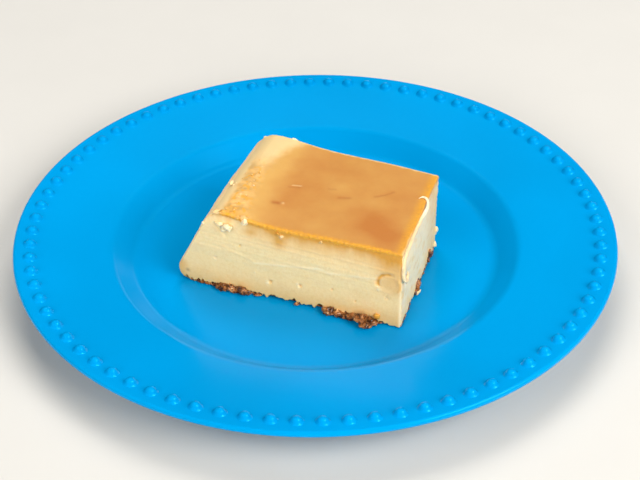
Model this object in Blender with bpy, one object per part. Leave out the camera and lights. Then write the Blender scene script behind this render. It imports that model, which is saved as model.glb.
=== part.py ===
"""Creme caramel flan: a hand-cut slice from the side of a square pan, on its round moulded plate.

Sizes are in millimetres and heights are above the table, unless a name says otherwise.
The slice has its own plan axes: u runs along the front cut to the right, v runs along the pan's side
to the back, and both start at the slice's front right corner.
"""

import math

import bmesh
import bpy
from mathutils import Vector, noise

MM = 0.001
GAP = 0.3                      # clearance between pieces that rest on each other

# Plate: one piece of moulded plastic with a sunk well, a wide rim and a row of beads
PLATE_RADIUS = 133.0
PLATE_HEIGHT = 19.6
PLATE_WALL = 2.3
FLOOR_RADIUS = 80.6
FLOOR_HEIGHT = 5.0
SHOULDER_RADIUS = 90.5
SHOULDER_HEIGHT = 13.0
WELL_ROUNDING = 7.0
LIP_DEPTH = 2.8                # the rim thickens to this at its edge
LIP_ROUNDING = 1.3
FOOT_RADIUS = 75.0
FOOT_WIDTH = 3.2
FOOT_DRAFT = 0.8
PLATE_ARC_STEPS = 2

BEAD_COUNT = 80
BEAD_CIRCLE = 126.1
BEAD_RADIUS = 2.8
BEAD_RISE = 2.2
BEAD_BAND = 4.2                # half the width of the ring of rim that the beads stand in
BEAD_PHASE = math.radians(1.17)
BEAD_SIDES = 8
BEAD_SHOULDER = 0.70           # radius of the bead's upper ring, as a share of its base

# Slice
CORNER = Vector((35.5, -56.1))
CUT_ANGLE = math.radians(-20.7)
PAN_ANGLE = math.radians(72.25)
DEPTH_RIGHT = 60.5
DEPTH_SPREAD = 0.075           # the slice gets deeper by this much for each mm to the left
FOOTPRINT = 105.4              # length of the front cut on the floor, before rounding
SLICE_HEIGHT = 38.45
PAN_SLOPE = math.radians(26.4)
PAN_CORNER = 12.0              # rounding where the pan's side met its bottom
BAKED_CORNER = 5.6             # rounding where the custard's baked top met the pan's side
EDGE_SWELL = 1.6               # the top stands higher by this much along the pan's side
SWELL_CENTRE = -80.0
SWELL_WIDTH = 13.0
TOP_DIP = 0.6
DIP_CENTRE = -47.0
DIP_WIDTH = 16.0
BACK_SAG = 4.0                 # the pan side's rounded corner is lower by this much at the back cut
SAG_CENTRE = -94.0
SAG_WIDTH = 13.0
CARAMEL_DEPTH = 1.2
CARAMEL_EDGE = 0.25            # share of that depth left at the feathered edge
FEATHER = 0.10                 # share of the top's width over which the caramel feathers out
CRUST_HEIGHT = 4.0             # the browned base shows below this height
CRUST_BULGE = 1.8
CRUST_LENGTH = 6.2             # length of one lump of that base along the cut
CRUST_SEED = Vector((0.0, 0.0, 3.0))
CRUST_HOLLOW = -0.2            # deepest gap between lumps, as a share of the bulge
UNEVEN = 0.5                   # how far the cut faces wander from flat
UNEVEN_LENGTH = 22.0
DEPTH_SEED = Vector((7.0, 3.0, 1.0))
HEIGHT_SEED = Vector((2.0, 9.0, 5.0))
UNEVEN_RISE = 10.0             # heights start to wander fully this far above the base

SIDE_ARC_STEPS = 6
TOP_STEPS = 12
CUSTARD_GRID = (18, 12, 8)
CARAMEL_GRID = (18, 12, 1)
EASE_START = 0.9               # share of the pan side where it starts to ease under the caramel
LOW_ROWS = 1.25                # power that crowds the custard's rows towards the base


def clear_scene():
    for item in list(bpy.data.objects):
        bpy.data.objects.remove(item, do_unlink=True)


def surface_material(name, colour, roughness, metallic=0.0):
    material = bpy.data.materials.new(name)
    material.use_nodes = True
    shader = material.node_tree.nodes["Principled BSDF"]
    shader.inputs["Base Color"].default_value = (*colour, 1.0)
    shader.inputs["Roughness"].default_value = roughness
    shader.inputs["Metallic"].default_value = metallic
    return material


def smooth_step(value):
    value = min(max(value, 0.0), 1.0)
    return value * value * (3.0 - 2.0 * value)


def add_object(name, mesh_builder, material, sharp_angle):
    """Turns a finished bmesh into a named object in metres, with its faces pointing out."""
    bmesh.ops.recalc_face_normals(mesh_builder, faces=mesh_builder.faces)
    bmesh.ops.scale(mesh_builder, vec=(MM, MM, MM), verts=mesh_builder.verts)
    mesh = bpy.data.meshes.new(name)
    mesh_builder.to_mesh(mesh)
    mesh_builder.free()
    mesh.materials.append(material)
    mesh.shade_smooth()
    mesh.set_sharp_from_angle(angle=math.radians(sharp_angle))
    item = bpy.data.objects.new(name, mesh)
    bpy.context.scene.collection.objects.link(item)
    return item


# Outlines ------------------------------------------------------------------------------------

def round_corner(before, corner, after, radius, steps):
    """Points on the arc of the given radius that replaces one corner of an outline."""
    back = (before - corner).normalized()
    ahead = (after - corner).normalized()
    half = back.angle(ahead) / 2.0
    reach = radius / math.tan(half)
    centre = corner + (back + ahead).normalized() * (radius / math.sin(half))
    start = corner + back * reach - centre
    end = corner + ahead * reach - centre
    sweep = start.angle_signed(end)
    points = []
    for step in range(steps + 1):
        turn = -sweep * step / steps
        points.append(centre + Vector((start.x * math.cos(turn) - start.y * math.sin(turn),
                                       start.x * math.sin(turn) + start.y * math.cos(turn))))
    return points


def rounded_outline(corners, steps):
    """An open outline from (x, y, rounding radius) corners; a radius of 0 keeps the corner sharp."""
    points = []
    for index, (x, y, radius) in enumerate(corners):
        corner = Vector((x, y))
        if radius <= 0.0:
            points.append(corner)
            continue
        before = Vector(corners[index - 1][:2])
        after = Vector(corners[index + 1][:2])
        points.extend(round_corner(before, corner, after, radius, steps))
    return points


def offset_line(points, distance):
    """The same line moved sideways, to the right of its direction, with mitred corners."""
    moved = []
    for index, point in enumerate(points):
        sides = []
        if index > 0:
            sides.append((point - points[index - 1]).normalized())
        if index < len(points) - 1:
            sides.append((points[index + 1] - point).normalized())
        normals = [Vector((side.y, -side.x)) for side in sides]
        middle = sum(normals, Vector((0.0, 0.0))).normalized()
        moved.append(point + middle * (distance / middle.dot(normals[0])))
    return moved


def point_along(points, share):
    """The point at a share of a line's length."""
    lengths = [(b - a).length for a, b in zip(points, points[1:])]
    left = min(max(share, 0.0), 1.0) * sum(lengths)
    for start, end, length in zip(points, points[1:], lengths):
        if left <= length:
            return start.lerp(end, left / length)
        left -= length
    return points[-1].copy()


# Plate ---------------------------------------------------------------------------------------

def plate_outline():
    """Half section of the plate as (radius, height), from the middle of the top to that of the base."""
    top = [Vector((0.0, FLOOR_HEIGHT)), Vector((FLOOR_RADIUS, FLOOR_HEIGHT)),
           Vector((SHOULDER_RADIUS, SHOULDER_HEIGHT)), Vector((PLATE_RADIUS, PLATE_HEIGHT))]
    base = offset_line(top, PLATE_WALL)
    under = base[1].y
    foot_out = FOOT_RADIUS + FOOT_WIDTH / 2.0
    foot_in = FOOT_RADIUS - FOOT_WIDTH / 2.0
    corners = [
        (0.0, FLOOR_HEIGHT, 0.0),
        (FLOOR_RADIUS, FLOOR_HEIGHT, WELL_ROUNDING),
        (SHOULDER_RADIUS, SHOULDER_HEIGHT, WELL_ROUNDING),
        (BEAD_CIRCLE - BEAD_BAND, rim_height(BEAD_CIRCLE - BEAD_BAND), 0.0),
        (BEAD_CIRCLE + BEAD_BAND, rim_height(BEAD_CIRCLE + BEAD_BAND), 0.0),
        (PLATE_RADIUS, PLATE_HEIGHT, LIP_ROUNDING),
        (PLATE_RADIUS, PLATE_HEIGHT - LIP_DEPTH, LIP_ROUNDING),
        (base[2].x, base[2].y, WELL_ROUNDING),
        (base[1].x, under, 0.0),
        (foot_out + FOOT_DRAFT, under, 0.0),
        (foot_out, 0.0, 0.0),
        (foot_in, 0.0, 0.0),
        (foot_in - FOOT_DRAFT, under, 0.0),
        (0.0, under, 0.0),
    ]
    return rounded_outline(corners, PLATE_ARC_STEPS)


def rim_height(radius):
    slope = (PLATE_HEIGHT - SHOULDER_HEIGHT) / (PLATE_RADIUS - SHOULDER_RADIUS)
    return SHOULDER_HEIGHT + slope * (radius - SHOULDER_RADIUS)


def polar(radius, angle, height):
    return Vector((radius * math.cos(angle), radius * math.sin(angle), height))


def add_bead(builder, inner, outer, angle):
    """Fills one stretch of the bead band: flat rim around a low dome."""
    out = Vector((math.cos(angle), math.sin(angle)))
    along = Vector((-out.y, out.x))

    def ring(scale, rise):
        points = []
        for side in range(BEAD_SIDES):
            turn = 2.0 * math.pi * (side + 0.5) / BEAD_SIDES
            reach = BEAD_RADIUS * scale
            radial = BEAD_CIRCLE + reach * math.cos(turn)
            place = out * radial + along * (reach * math.sin(turn))
            points.append(builder.verts.new((place.x, place.y, rim_height(radial) + rise)))
        return points

    base = ring(1.0, 0.0)
    shoulder = ring(BEAD_SHOULDER, BEAD_RISE * math.sqrt(1.0 - BEAD_SHOULDER ** 2))
    crown = builder.verts.new(polar(BEAD_CIRCLE, angle, rim_height(BEAD_CIRCLE) + BEAD_RISE))
    for side in range(BEAD_SIDES):
        after = (side + 1) % BEAD_SIDES
        builder.faces.new((base[side], base[after], shoulder[after], shoulder[side]))
        builder.faces.new((shoulder[side], shoulder[after], crown))

    corners = (outer[1], inner[1], inner[0], outer[0])     # anticlockwise, from the far outer one
    for quarter, corner in enumerate(corners):
        first = 2 * quarter
        following = corners[(quarter + 1) % 4]
        builder.faces.new((corner, base[first], base[first + 1]))
        builder.faces.new((corner, base[first + 1], base[(first + 2) % BEAD_SIDES], following))


def build_plate(material):
    builder = bmesh.new()
    outline = plate_outline()
    step = 2.0 * math.pi / BEAD_COUNT
    edges = [BEAD_PHASE + step * (index + 0.5) for index in range(BEAD_COUNT)]
    rings = []
    for point in outline[1:-1]:
        rings.append([builder.verts.new(polar(point.x, angle, point.y)) for angle in edges])
    top = builder.verts.new((0.0, 0.0, outline[0].y))
    base = builder.verts.new((0.0, 0.0, outline[-1].y))
    band = BEAD_CIRCLE - BEAD_BAND
    for index in range(BEAD_COUNT):
        after = (index + 1) % BEAD_COUNT
        builder.faces.new((top, rings[0][index], rings[0][after]))
        builder.faces.new((base, rings[-1][after], rings[-1][index]))
        for inner, outer, point in zip(rings, rings[1:], outline[1:]):
            if abs(point.x - band) < 1e-4 and point.y > SHOULDER_HEIGHT:
                add_bead(builder, (inner[index], inner[after]), (outer[index], outer[after]),
                         edges[index] + step / 2.0)
            else:
                builder.faces.new((inner[index], outer[index], outer[after], inner[after]))
    return add_object("plate", builder, material, 32)


# Slice ---------------------------------------------------------------------------------------

def top_height(u):
    """Height of the slice's top above its base: highest along the pan's side, with a shallow dip."""
    side = EDGE_SWELL * math.exp(-((u - SWELL_CENTRE) / SWELL_WIDTH) ** 2)
    dip = TOP_DIP * math.exp(-((u - DIP_CENTRE) / DIP_WIDTH) ** 2)
    return SLICE_HEIGHT + side - dip


def pan_side_outline():
    """The pan's side from the base up and over its rounded corner onto the top, as (u, height)."""
    top = SLICE_HEIGHT + EDGE_SWELL
    lean = math.tan(PAN_SLOPE)
    clear = 3.0 * BAKED_CORNER                     # runs on past the rounding along the base
    corners = [(-FOOTPRINT + clear, 0.0, 0.0), (-FOOTPRINT, 0.0, BAKED_CORNER),
               (-FOOTPRINT + top * lean, top, PAN_CORNER), (SWELL_CENTRE + SWELL_WIDTH, top, 0.0)]
    return rounded_outline(corners, SIDE_ARC_STEPS)


def outline_sides():
    """The lines round the slice's section: base, top and pan side; the right cut is upright."""
    outline = pan_side_outline()
    split = 2 + SIDE_ARC_STEPS + SIDE_ARC_STEPS // 2      # middle of the pan corner's arc
    left = outline[:split + 1]
    top = outline[split:-1]
    reach = top[-1].x
    for step in range(1, TOP_STEPS + 1):
        u = reach * (1.0 - step / TOP_STEPS)
        top.append(Vector((u, top_height(u))))
    base = [left[0], Vector((0.0, 0.0))]
    return base, top, left


def caramel_depth(share):
    return CARAMEL_DEPTH * (CARAMEL_EDGE + (1.0 - CARAMEL_EDGE) * smooth_step(share / FEATHER))


def below_top(top, share, depth):
    """A point under the top line, square to it."""
    here = point_along(top, share)
    ahead = point_along(top, min(share + 0.01, 1.0)) - point_along(top, max(share - 0.01, 0.0))
    ahead.normalize()
    return here + Vector((ahead.y, -ahead.x)) * depth


def section_point(across, up):
    """A point of the custard's section, blended from its four sides."""
    base, top, left = SIDES

    def lid(share):
        return below_top(top, share, caramel_depth(share) + GAP)

    low = point_along(base, across)
    high = lid(across)
    west = left_point(left, lid(0.0), up)
    east = Vector((0.0, lid(1.0).y * up))
    corners = (base[0] * (1.0 - across) * (1.0 - up) + base[1] * across * (1.0 - up)
               + lid(0.0) * (1.0 - across) * up + lid(1.0) * across * up)
    return low * (1.0 - up) + high * up + west * (1.0 - across) + east * across - corners


def left_point(left, end, up):
    """The pan side at a share of its height, eased in under the caramel's feathered edge."""
    point = point_along(left, up)
    ease = smooth_step((up - EASE_START) / (1.0 - EASE_START))
    return point + (end - left[-1]) * ease


def wander(u, v, height):
    """Smooth unevenness of a cut face, the same for every layer so that layers never cross."""
    sample = Vector((u, v, height)) / UNEVEN_LENGTH
    lift = 0.5 * min(height / UNEVEN_RISE, 1.0)
    return (UNEVEN * noise.noise(sample), UNEVEN * noise.noise(sample + DEPTH_SEED),
            UNEVEN * lift * noise.noise(sample + HEIGHT_SEED))


def settled(u, share_back, height):
    """Height of a point after the pan side's far end has slumped."""
    slump = BACK_SAG * math.exp(-((u - SAG_CENTRE) / SAG_WIDTH) ** 2) * share_back ** 2
    return height * (1.0 - slump / SLICE_HEIGHT)


def crust_bulge(u, v, height):
    """How far the ragged browned base stands out from the cut above it."""
    if height > CRUST_HEIGHT:
        return 0.0
    ragged = noise.noise(Vector((u, v, 0.0)) / CRUST_LENGTH + CRUST_SEED)
    return CRUST_BULGE * max(ragged, CRUST_HOLLOW) * (1.0 - height / CRUST_HEIGHT)


def place(u, share_back, height, crusted):
    """Puts a point of the section at a share of the slice's depth, in the plate's frame."""
    depth = DEPTH_RIGHT - DEPTH_SPREAD * u
    v = depth * share_back
    du, dv, dz = wander(u, v, height)
    bulge = crust_bulge(u, v, height) if crusted else 0.0
    v += dv + bulge * (2.0 * share_back - 1.0)
    u += du + (bulge if u > -1.0 else 0.0)
    plan = (CORNER + Vector((math.cos(CUT_ANGLE), math.sin(CUT_ANGLE))) * u
            + Vector((math.cos(PAN_ANGLE), math.sin(PAN_ANGLE))) * v)
    rise = max(settled(u, share_back, height) + dz, 0.0)
    return Vector((plan.x, plan.y, FLOOR_HEIGHT + GAP + rise))


def build_block(name, counts, point_at, material, sharp_angle):
    """A closed block whose six sides are grids; point_at maps shares across, back and up to a place."""
    builder = bmesh.new()
    across, back, up = counts
    corners = {}

    def vertex(i, j, k):
        if (i, j, k) not in corners:
            corners[(i, j, k)] = builder.verts.new(point_at(i / across, j / back, k / up))
        return corners[(i, j, k)]

    for i in range(across):
        for j in range(back):
            for k in (0, up):
                builder.faces.new((vertex(i, j, k), vertex(i + 1, j, k),
                                   vertex(i + 1, j + 1, k), vertex(i, j + 1, k)))
    for i in range(across):
        for k in range(up):
            for j in (0, back):
                builder.faces.new((vertex(i, j, k), vertex(i + 1, j, k),
                                   vertex(i + 1, j, k + 1), vertex(i, j, k + 1)))
    for j in range(back):
        for k in range(up):
            for i in (0, across):
                builder.faces.new((vertex(i, j, k), vertex(i, j + 1, k),
                                   vertex(i, j + 1, k + 1), vertex(i, j, k + 1)))
    return add_object(name, builder, material, sharp_angle)


def build_custard(material):
    def point_at(across, back, up):
        point = section_point(across, up ** LOW_ROWS)
        return place(point.x, back, point.y, True)

    return build_block("custard", CUSTARD_GRID, point_at, material, 40)


def build_caramel(material):
    def point_at(across, back, up):
        top = SIDES[1]
        point = below_top(top, across, caramel_depth(across) * (1.0 - up))
        return place(point.x, back, point.y, False)

    return build_block("caramel_layer", CARAMEL_GRID, point_at, material, 40)


SIDES = outline_sides()


def main():
    clear_scene()
    build_plate(surface_material("moulded_plastic", (0.001, 0.356, 0.775), 0.28))
    build_custard(surface_material("baked_custard", (0.83, 0.62, 0.30), 0.45))
    build_caramel(surface_material("caramel", (0.66, 0.27, 0.055), 0.22))


main()
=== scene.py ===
"""Creme caramel flan: a hand-cut slice from the side of a square pan, on its round moulded plate.

Sizes inside the makers are in millimetres and become metres when a mesh is made. The slice has its own
axes: u runs along the front cut to the right, v runs along the pan's side to the back, z is the height
above the slice's base, and u and v start at the slice's front right corner.
"""

import math
from functools import partial
from types import SimpleNamespace

import bmesh
import bpy
import numpy as np
from bpy.props import FloatProperty, FloatVectorProperty, IntProperty, PointerProperty
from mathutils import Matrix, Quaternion, Vector


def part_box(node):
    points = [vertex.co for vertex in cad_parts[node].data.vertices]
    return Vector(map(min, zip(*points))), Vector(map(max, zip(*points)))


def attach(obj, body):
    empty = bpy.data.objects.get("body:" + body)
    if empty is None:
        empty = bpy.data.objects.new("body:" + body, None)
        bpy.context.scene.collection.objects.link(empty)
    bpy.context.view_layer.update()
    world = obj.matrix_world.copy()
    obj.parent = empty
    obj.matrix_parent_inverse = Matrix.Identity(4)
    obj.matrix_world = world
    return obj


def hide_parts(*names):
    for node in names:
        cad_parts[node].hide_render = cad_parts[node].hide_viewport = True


bl_info = {
    "name": "Creme caramel flan on a plate",
    "version": (1, 0, 0),
    "blender": (4, 5, 0),
    "location": "3D View > Sidebar > Flan",
    "description": "Makes a slice of creme caramel flan, its crumbs and crust, and its beaded plate",
    "category": "Add Mesh",
}

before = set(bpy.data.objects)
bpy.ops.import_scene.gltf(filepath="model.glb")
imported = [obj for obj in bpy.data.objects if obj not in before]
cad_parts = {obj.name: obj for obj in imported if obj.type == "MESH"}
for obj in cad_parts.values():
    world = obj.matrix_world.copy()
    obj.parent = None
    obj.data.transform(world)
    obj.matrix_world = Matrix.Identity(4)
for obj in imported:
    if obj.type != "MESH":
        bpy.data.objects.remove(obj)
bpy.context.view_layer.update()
PLATE_LOW, PLATE_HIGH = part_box("plate")

MM = 0.001


def linear(code):
    """An sRGB hex colour as linear red, green and blue."""
    parts = [int(code[at:at + 2], 16) / 255.0 for at in (0, 2, 4)]
    return tuple(part / 12.92 if part <= 0.04045 else ((part + 0.055) / 1.055) ** 2.4 for part in parts)


# Sizes of the frame's solids, repeated because a finer surface needs the same formulas -------------

PLATE_RADIUS = (PLATE_HIGH.x - PLATE_LOW.x) / 2.0 / MM
PLATE_HEIGHT = 19.6
PLATE_WALL = 2.3
FLOOR_RADIUS = 80.6
FLOOR_HEIGHT = 5.0
SHOULDER_RADIUS = 90.5
SHOULDER_HEIGHT = 13.0
WELL_ROUNDING = 7.0
LIP_DEPTH = 2.8
LIP_ROUNDING = 1.3
FOOT_RADIUS = 75.0
FOOT_WIDTH = 3.2
FOOT_DRAFT = 0.8
LONG_FLAT = 15.0
BOX_MARGIN = 0.02                              # keeps the lip inside the frame's own box
BEAD_CIRCLE = 125.7
BEAD_PHASE = math.radians(1.17)
BEAD_SINK = 0.10                               # the beads' middles lie this far below the rim

CORNER = np.array((35.5, -56.1))
CUT_ANGLE = math.radians(-20.7)
PAN_ANGLE = math.radians(72.25)
CUT_WAY = np.array((math.cos(CUT_ANGLE), math.sin(CUT_ANGLE)))
PAN_WAY = np.array((math.cos(PAN_ANGLE), math.sin(PAN_ANGLE)))
DEPTH_RIGHT = 60.5
DEPTH_SPREAD = 0.075
FOOTPRINT = 105.4
SLICE_HEIGHT = 38.45
PAN_SLOPE = math.radians(26.4)
PAN_CORNER = 12.0
BAKED_CORNER = 5.6
EDGE_SWELL, SWELL_CENTRE, SWELL_WIDTH = 1.6, -80.0, 13.0
TOP_DIP, DIP_CENTRE, DIP_WIDTH = 0.6, -47.0, 16.0
BACK_SAG, SAG_CENTRE, SAG_WIDTH = 4.0, -94.0, 13.0
CARAMEL_DEPTH = 1.2
CARAMEL_EDGE = 0.25
FEATHER = 0.10
UPRIGHT_ROUNDING = 1.1
TOP_ROUNDING = 0.55
WANDER, WANDER_LENGTHS = 0.35, (24.0, 24.0, 20.0)
INNER_BASE, INNER_TOP = (-50.0, 30.0), (-42.0, 31.0)        # u and v of the middles of hidden faces
SLICE_BASE = FLOOR_HEIGHT + 0.3

# Edges sharper than this many degrees stay sharp in the shading
SHARP_PLASTIC, SHARP_FOOD = 50, 60

# Shares of the way across and back that the crowded columns at the rounded edges take
CUSTARD_EDGES, SKIN_EDGES = (0.016, 0.02), (0.012, 0.016)


# Numbers and lines ---------------------------------------------------------------------------------

def smooth_step(value):
    value = np.clip(value, 0.0, 1.0)
    return value * value * (3.0 - 2.0 * value)


def rise(value, start, width):
    """A smooth step from 0 at the start to 1 a width above it."""
    return smooth_step((value - start) / width)


def fall(value, start, width):
    """A smooth step from 0 at the start to 1 a width below it."""
    return smooth_step((start - value) / width)


def hill(value, centre, width):
    """A bell of height 1 at the centre."""
    return np.exp(-((value - centre) / width) ** 2)


def mounds(across, along, rows):
    """The sum of bells over a plane, from rows of two centres, two half widths and a strength."""
    return sum(strength * np.exp(-((across - x) / wide) ** 2 - ((along - y) / deep) ** 2)
               for x, y, wide, deep, strength in rows)


HASH_STEPS = np.array((73856093, 19349663, 83492791), dtype=np.int64)


def soft_noise(points, seed):
    """Smooth noise from about -1 to 1 at each row of points, with lumps about one unit long."""
    points = np.asarray(points, dtype=float)
    cell = np.floor(points).astype(np.int64)
    local = points - cell
    fade = local ** 3 * (local * (local * 6.0 - 15.0) + 10.0)
    total = np.zeros(points.shape[0])
    for corner in np.ndindex(2, 2, 2):
        corner = np.array(corner)
        key = (cell + corner) @ HASH_STEPS + seed * 2654435761
        key = (key ^ (key >> 15)) * 2246822519 & 0xFFFFFFFF
        key = (key ^ (key >> 13)) * 3266489917 & 0xFFFFFFFF
        key ^= key >> 16
        slopes = np.stack([(key & 1023), (key >> 10) & 1023, (key >> 20) & 1023], axis=1) / 511.5 - 1.0
        weight = np.prod(np.where(corner, fade, 1.0 - fade), axis=1)
        total += weight * np.sum(slopes * (local - corner), axis=1)
    return total * 1.5


def noise_at(u, v, z, lengths, seed):
    """Noise whose lumps are as long as the length, or the three lengths, say in millimetres."""
    wide, deep, high = np.broadcast_to(lengths, 3)
    return soft_noise(np.stack(np.broadcast_arrays(u / wide, v / deep, z / high), axis=1), seed)


def line_noise(along, length, seed):
    """Noise along a line, with lumps of the length in millimetres."""
    return noise_at(along, 0.0, 0.0, length, seed)


def even_turns(count):
    """Angles of even steps round a circle."""
    return np.linspace(0.0, 2.0 * math.pi, count, endpoint=False)


def round_corner(before, corner, after, radius, steps):
    """Points on the arc of the given radius that replaces one corner of an outline."""
    back = (before - corner).normalized()
    ahead = (after - corner).normalized()
    half = back.angle(ahead) / 2.0
    reach = radius / math.tan(half)
    centre = corner + (back + ahead).normalized() * (radius / math.sin(half))
    start = corner + back * reach - centre
    end = corner + ahead * reach - centre
    sweep = start.angle_signed(end)
    points = []
    for step in range(steps + 1):
        turn = -sweep * step / steps
        points.append(centre + Vector((start.x * math.cos(turn) - start.y * math.sin(turn),
                                       start.x * math.sin(turn) + start.y * math.cos(turn))))
    return points


def rounded_outline(corners, steps):
    """An open outline from (x, y, rounding radius) corners; a radius of 0 keeps the corner sharp."""
    points = []
    for index, (x, y, radius) in enumerate(corners):
        corner = Vector((x, y))
        if radius <= 0.0:
            points.append(corner)
        else:
            points.extend(round_corner(Vector(corners[index - 1][:2]), corner,
                                       Vector(corners[index + 1][:2]), radius, steps))
    return points


class Line:
    """A line through points, with places on it by share of its length."""

    def __init__(self, points):
        self.points = np.array([tuple(point) for point in points])
        steps = np.linalg.norm(np.diff(self.points, axis=0), axis=1)
        self.lengths = np.concatenate([[0.0], np.cumsum(steps)])

    def at(self, share):
        where = np.clip(share, 0.0, 1.0) * self.lengths[-1]
        return np.stack([np.interp(where, self.lengths, self.points[:, axis])
                         for axis in range(self.points.shape[1])], axis=-1)


def distance_to_path(points, path):
    """How far each point lies from a path of straight pieces."""
    nearest = np.full(len(points), 1e9)
    for start, end in zip(path, path[1:]):
        start, end = np.array(start, dtype=float), np.array(end, dtype=float)
        way = end - start
        share = np.clip(((points - start) @ way) / (way @ way), 0.0, 1.0)
        nearest = np.minimum(nearest, np.linalg.norm(points - start - share[:, None] * way, axis=1))
    return nearest


# Section of the slice ------------------------------------------------------------------------------

def top_height(u):
    return (SLICE_HEIGHT + EDGE_SWELL * hill(u, SWELL_CENTRE, SWELL_WIDTH)
            - TOP_DIP * hill(u, DIP_CENTRE, DIP_WIDTH))


def section_lines():
    """The lines round the slice's section: base, top and pan side."""
    steps = 14
    top = SLICE_HEIGHT + EDGE_SWELL
    corners = [(-FOOTPRINT + 3.0 * BAKED_CORNER, 0.0, 0.0), (-FOOTPRINT, 0.0, BAKED_CORNER),
               (-FOOTPRINT + top * math.tan(PAN_SLOPE), top, PAN_CORNER),
               (SWELL_CENTRE + SWELL_WIDTH, top, 0.0)]
    outline = rounded_outline(corners, steps)
    split = 2 + steps + steps // 2                 # middle of the pan corner's arc
    over = outline[split:-1]
    reach = over[-1].x
    for u in np.linspace(reach, 0.0, 61)[1:]:
        over.append(Vector((u, top_height(u))))
    return Line([outline[1], Vector((0.0, 0.0))]), Line(over), Line(outline[1:split + 1])


BASE_LINE, TOP_LINE, PAN_LINE = section_lines()


def caramel_depth(share):
    return CARAMEL_DEPTH * (CARAMEL_EDGE + (1.0 - CARAMEL_EDGE) * smooth_step(share / FEATHER))


def below_top(share, depth):
    """Points under the top line, square to it."""
    here = TOP_LINE.at(share)
    near = 0.004                                   # share of the line that gives its direction
    way = TOP_LINE.at(np.minimum(share + near, 1.0)) - TOP_LINE.at(np.maximum(share - near, 0.0))
    way /= np.linalg.norm(way, axis=1)[:, None]
    return here + np.stack([way[:, 1], -way[:, 0]], axis=1) * np.asarray(depth)[:, None]


def section_points(across, up):
    """Points of the custard's section, blended from its four sides."""
    ones = np.ones_like(across)

    def lid(share):
        return below_top(share, caramel_depth(share))

    ease = smooth_step((up - 0.9) / 0.1)[:, None]
    low, high = BASE_LINE.at(across), lid(across)
    west = PAN_LINE.at(up) + (lid(0.0 * ones) - PAN_LINE.at(ones)) * ease
    east = np.stack([0.0 * up, lid(ones)[:, 1] * up], axis=1)
    a, b = across[:, None], up[:, None]
    corners = (BASE_LINE.at(0.0 * ones) * (1 - a) * (1 - b) + BASE_LINE.at(ones) * a * (1 - b)
               + lid(0.0 * ones) * (1 - a) * b + lid(ones) * a * b)
    return low * (1 - b) + high * b + west * (1 - a) + east * a - corners


def depth_at(u):
    return DEPTH_RIGHT - DEPTH_SPREAD * u


def in_frame(u, v, z):
    """Places points of the slice's own axes in the plate's frame, with the slice's slump and wander."""
    share = np.clip(v / depth_at(u), 0.0, 1.0)
    z = z * (1.0 - BACK_SAG * hill(u, SAG_CENTRE, SAG_WIDTH) * share ** 2 / SLICE_HEIGHT)
    u = u + WANDER * noise_at(u, v, z, WANDER_LENGTHS, 3)
    v = v + WANDER * noise_at(u, v, z, WANDER_LENGTHS, 4)
    plan = CORNER + u[:, None] * CUT_WAY + v[:, None] * PAN_WAY
    return np.column_stack([plan, SLICE_BASE + z])


# Meshes --------------------------------------------------------------------------------------------

def add_object(name, data):
    item = bpy.data.objects.new(name, data)
    bpy.context.scene.collection.objects.link(item)
    return item


def material_of(name):
    """The material of a piece that is already made."""
    return bpy.data.objects[name].data.materials[0]


def make_object(name, points, faces, material, sharp_degrees=None):
    """An object at the origin from points in millimetres, with its faces pointing out."""
    mesh = bpy.data.meshes.new(name)
    mesh.from_pydata(np.asarray(points, dtype=float) * MM, [], faces)
    builder = bmesh.new()
    builder.from_mesh(mesh)
    bmesh.ops.recalc_face_normals(builder, faces=builder.faces)
    builder.to_mesh(mesh)
    builder.free()
    mesh.shade_smooth()
    if sharp_degrees is not None:
        mesh.set_sharp_from_angle(angle=math.radians(sharp_degrees))
    mesh.materials.append(material)
    return add_object(name, mesh)


def read_points(mesh):
    found = np.empty(len(mesh.vertices) * 3)
    mesh.vertices.foreach_get("co", found)
    return found.reshape(-1, 3)


def raise_surface(item, relief):
    """Moves each point along its normal by the relief, in millimetres."""
    mesh = item.data
    normals = np.empty(len(mesh.vertices) * 3)
    mesh.vertex_normals.foreach_get("vector", normals)
    moved = read_points(mesh) + normals.reshape(-1, 3) * (relief * MM)[:, None]
    mesh.vertices.foreach_set("co", moved.ravel())
    mesh.update()


def write_attributes(item, **fields):
    """Writes numbers from 0 to 1 at the item's points, one attribute for each name."""
    count = len(item.data.vertices)
    for name, values in fields.items():
        values = np.broadcast_to(np.clip(values, 0.0, 1.0), count).astype(np.float32)
        item.data.attributes.new(name, "FLOAT", "POINT").data.foreach_set("value", values)


def tube_faces(rows, columns, offset=0, closed=True):
    """Quads between rows of points, each row a ring unless it is open."""
    last = columns if closed else columns - 1
    return [(offset + row * columns + column, offset + row * columns + (column + 1) % columns,
             offset + (row + 1) * columns + (column + 1) % columns, offset + (row + 1) * columns + column)
            for row in range(rows - 1) for column in range(last)]


def sleeve_faces(rings, sides, closed):
    """Quads along a sleeve of rings; a closed sleeve joins its last ring to its first."""
    return [(ring * sides + side, (ring + 1) % rings * sides + side,
             (ring + 1) % rings * sides + (side + 1) % sides, ring * sides + (side + 1) % sides)
            for ring in range(rings if closed else rings - 1) for side in range(sides)]


def fan_faces(ring, centre):
    return [(ring[index], ring[(index + 1) % len(ring)], centre) for index in range(len(ring))]


def crowded_shares(count, edge):
    """Even shares from 0 to 1 with three extra ones close to each end, for a rounded edge."""
    extra = [0.12 * edge, 0.35 * edge, 0.65 * edge]
    middle = list(np.linspace(edge, 1.0 - edge, count))
    return np.array([0.0] + extra + middle + [1.0 - share for share in reversed(extra)] + [1.0])


def finish_piece(item, replaced=()):
    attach(item, "root")
    if replaced:
        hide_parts(*replaced)
    return item


# Materials and node trees --------------------------------------------------------------------------

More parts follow.
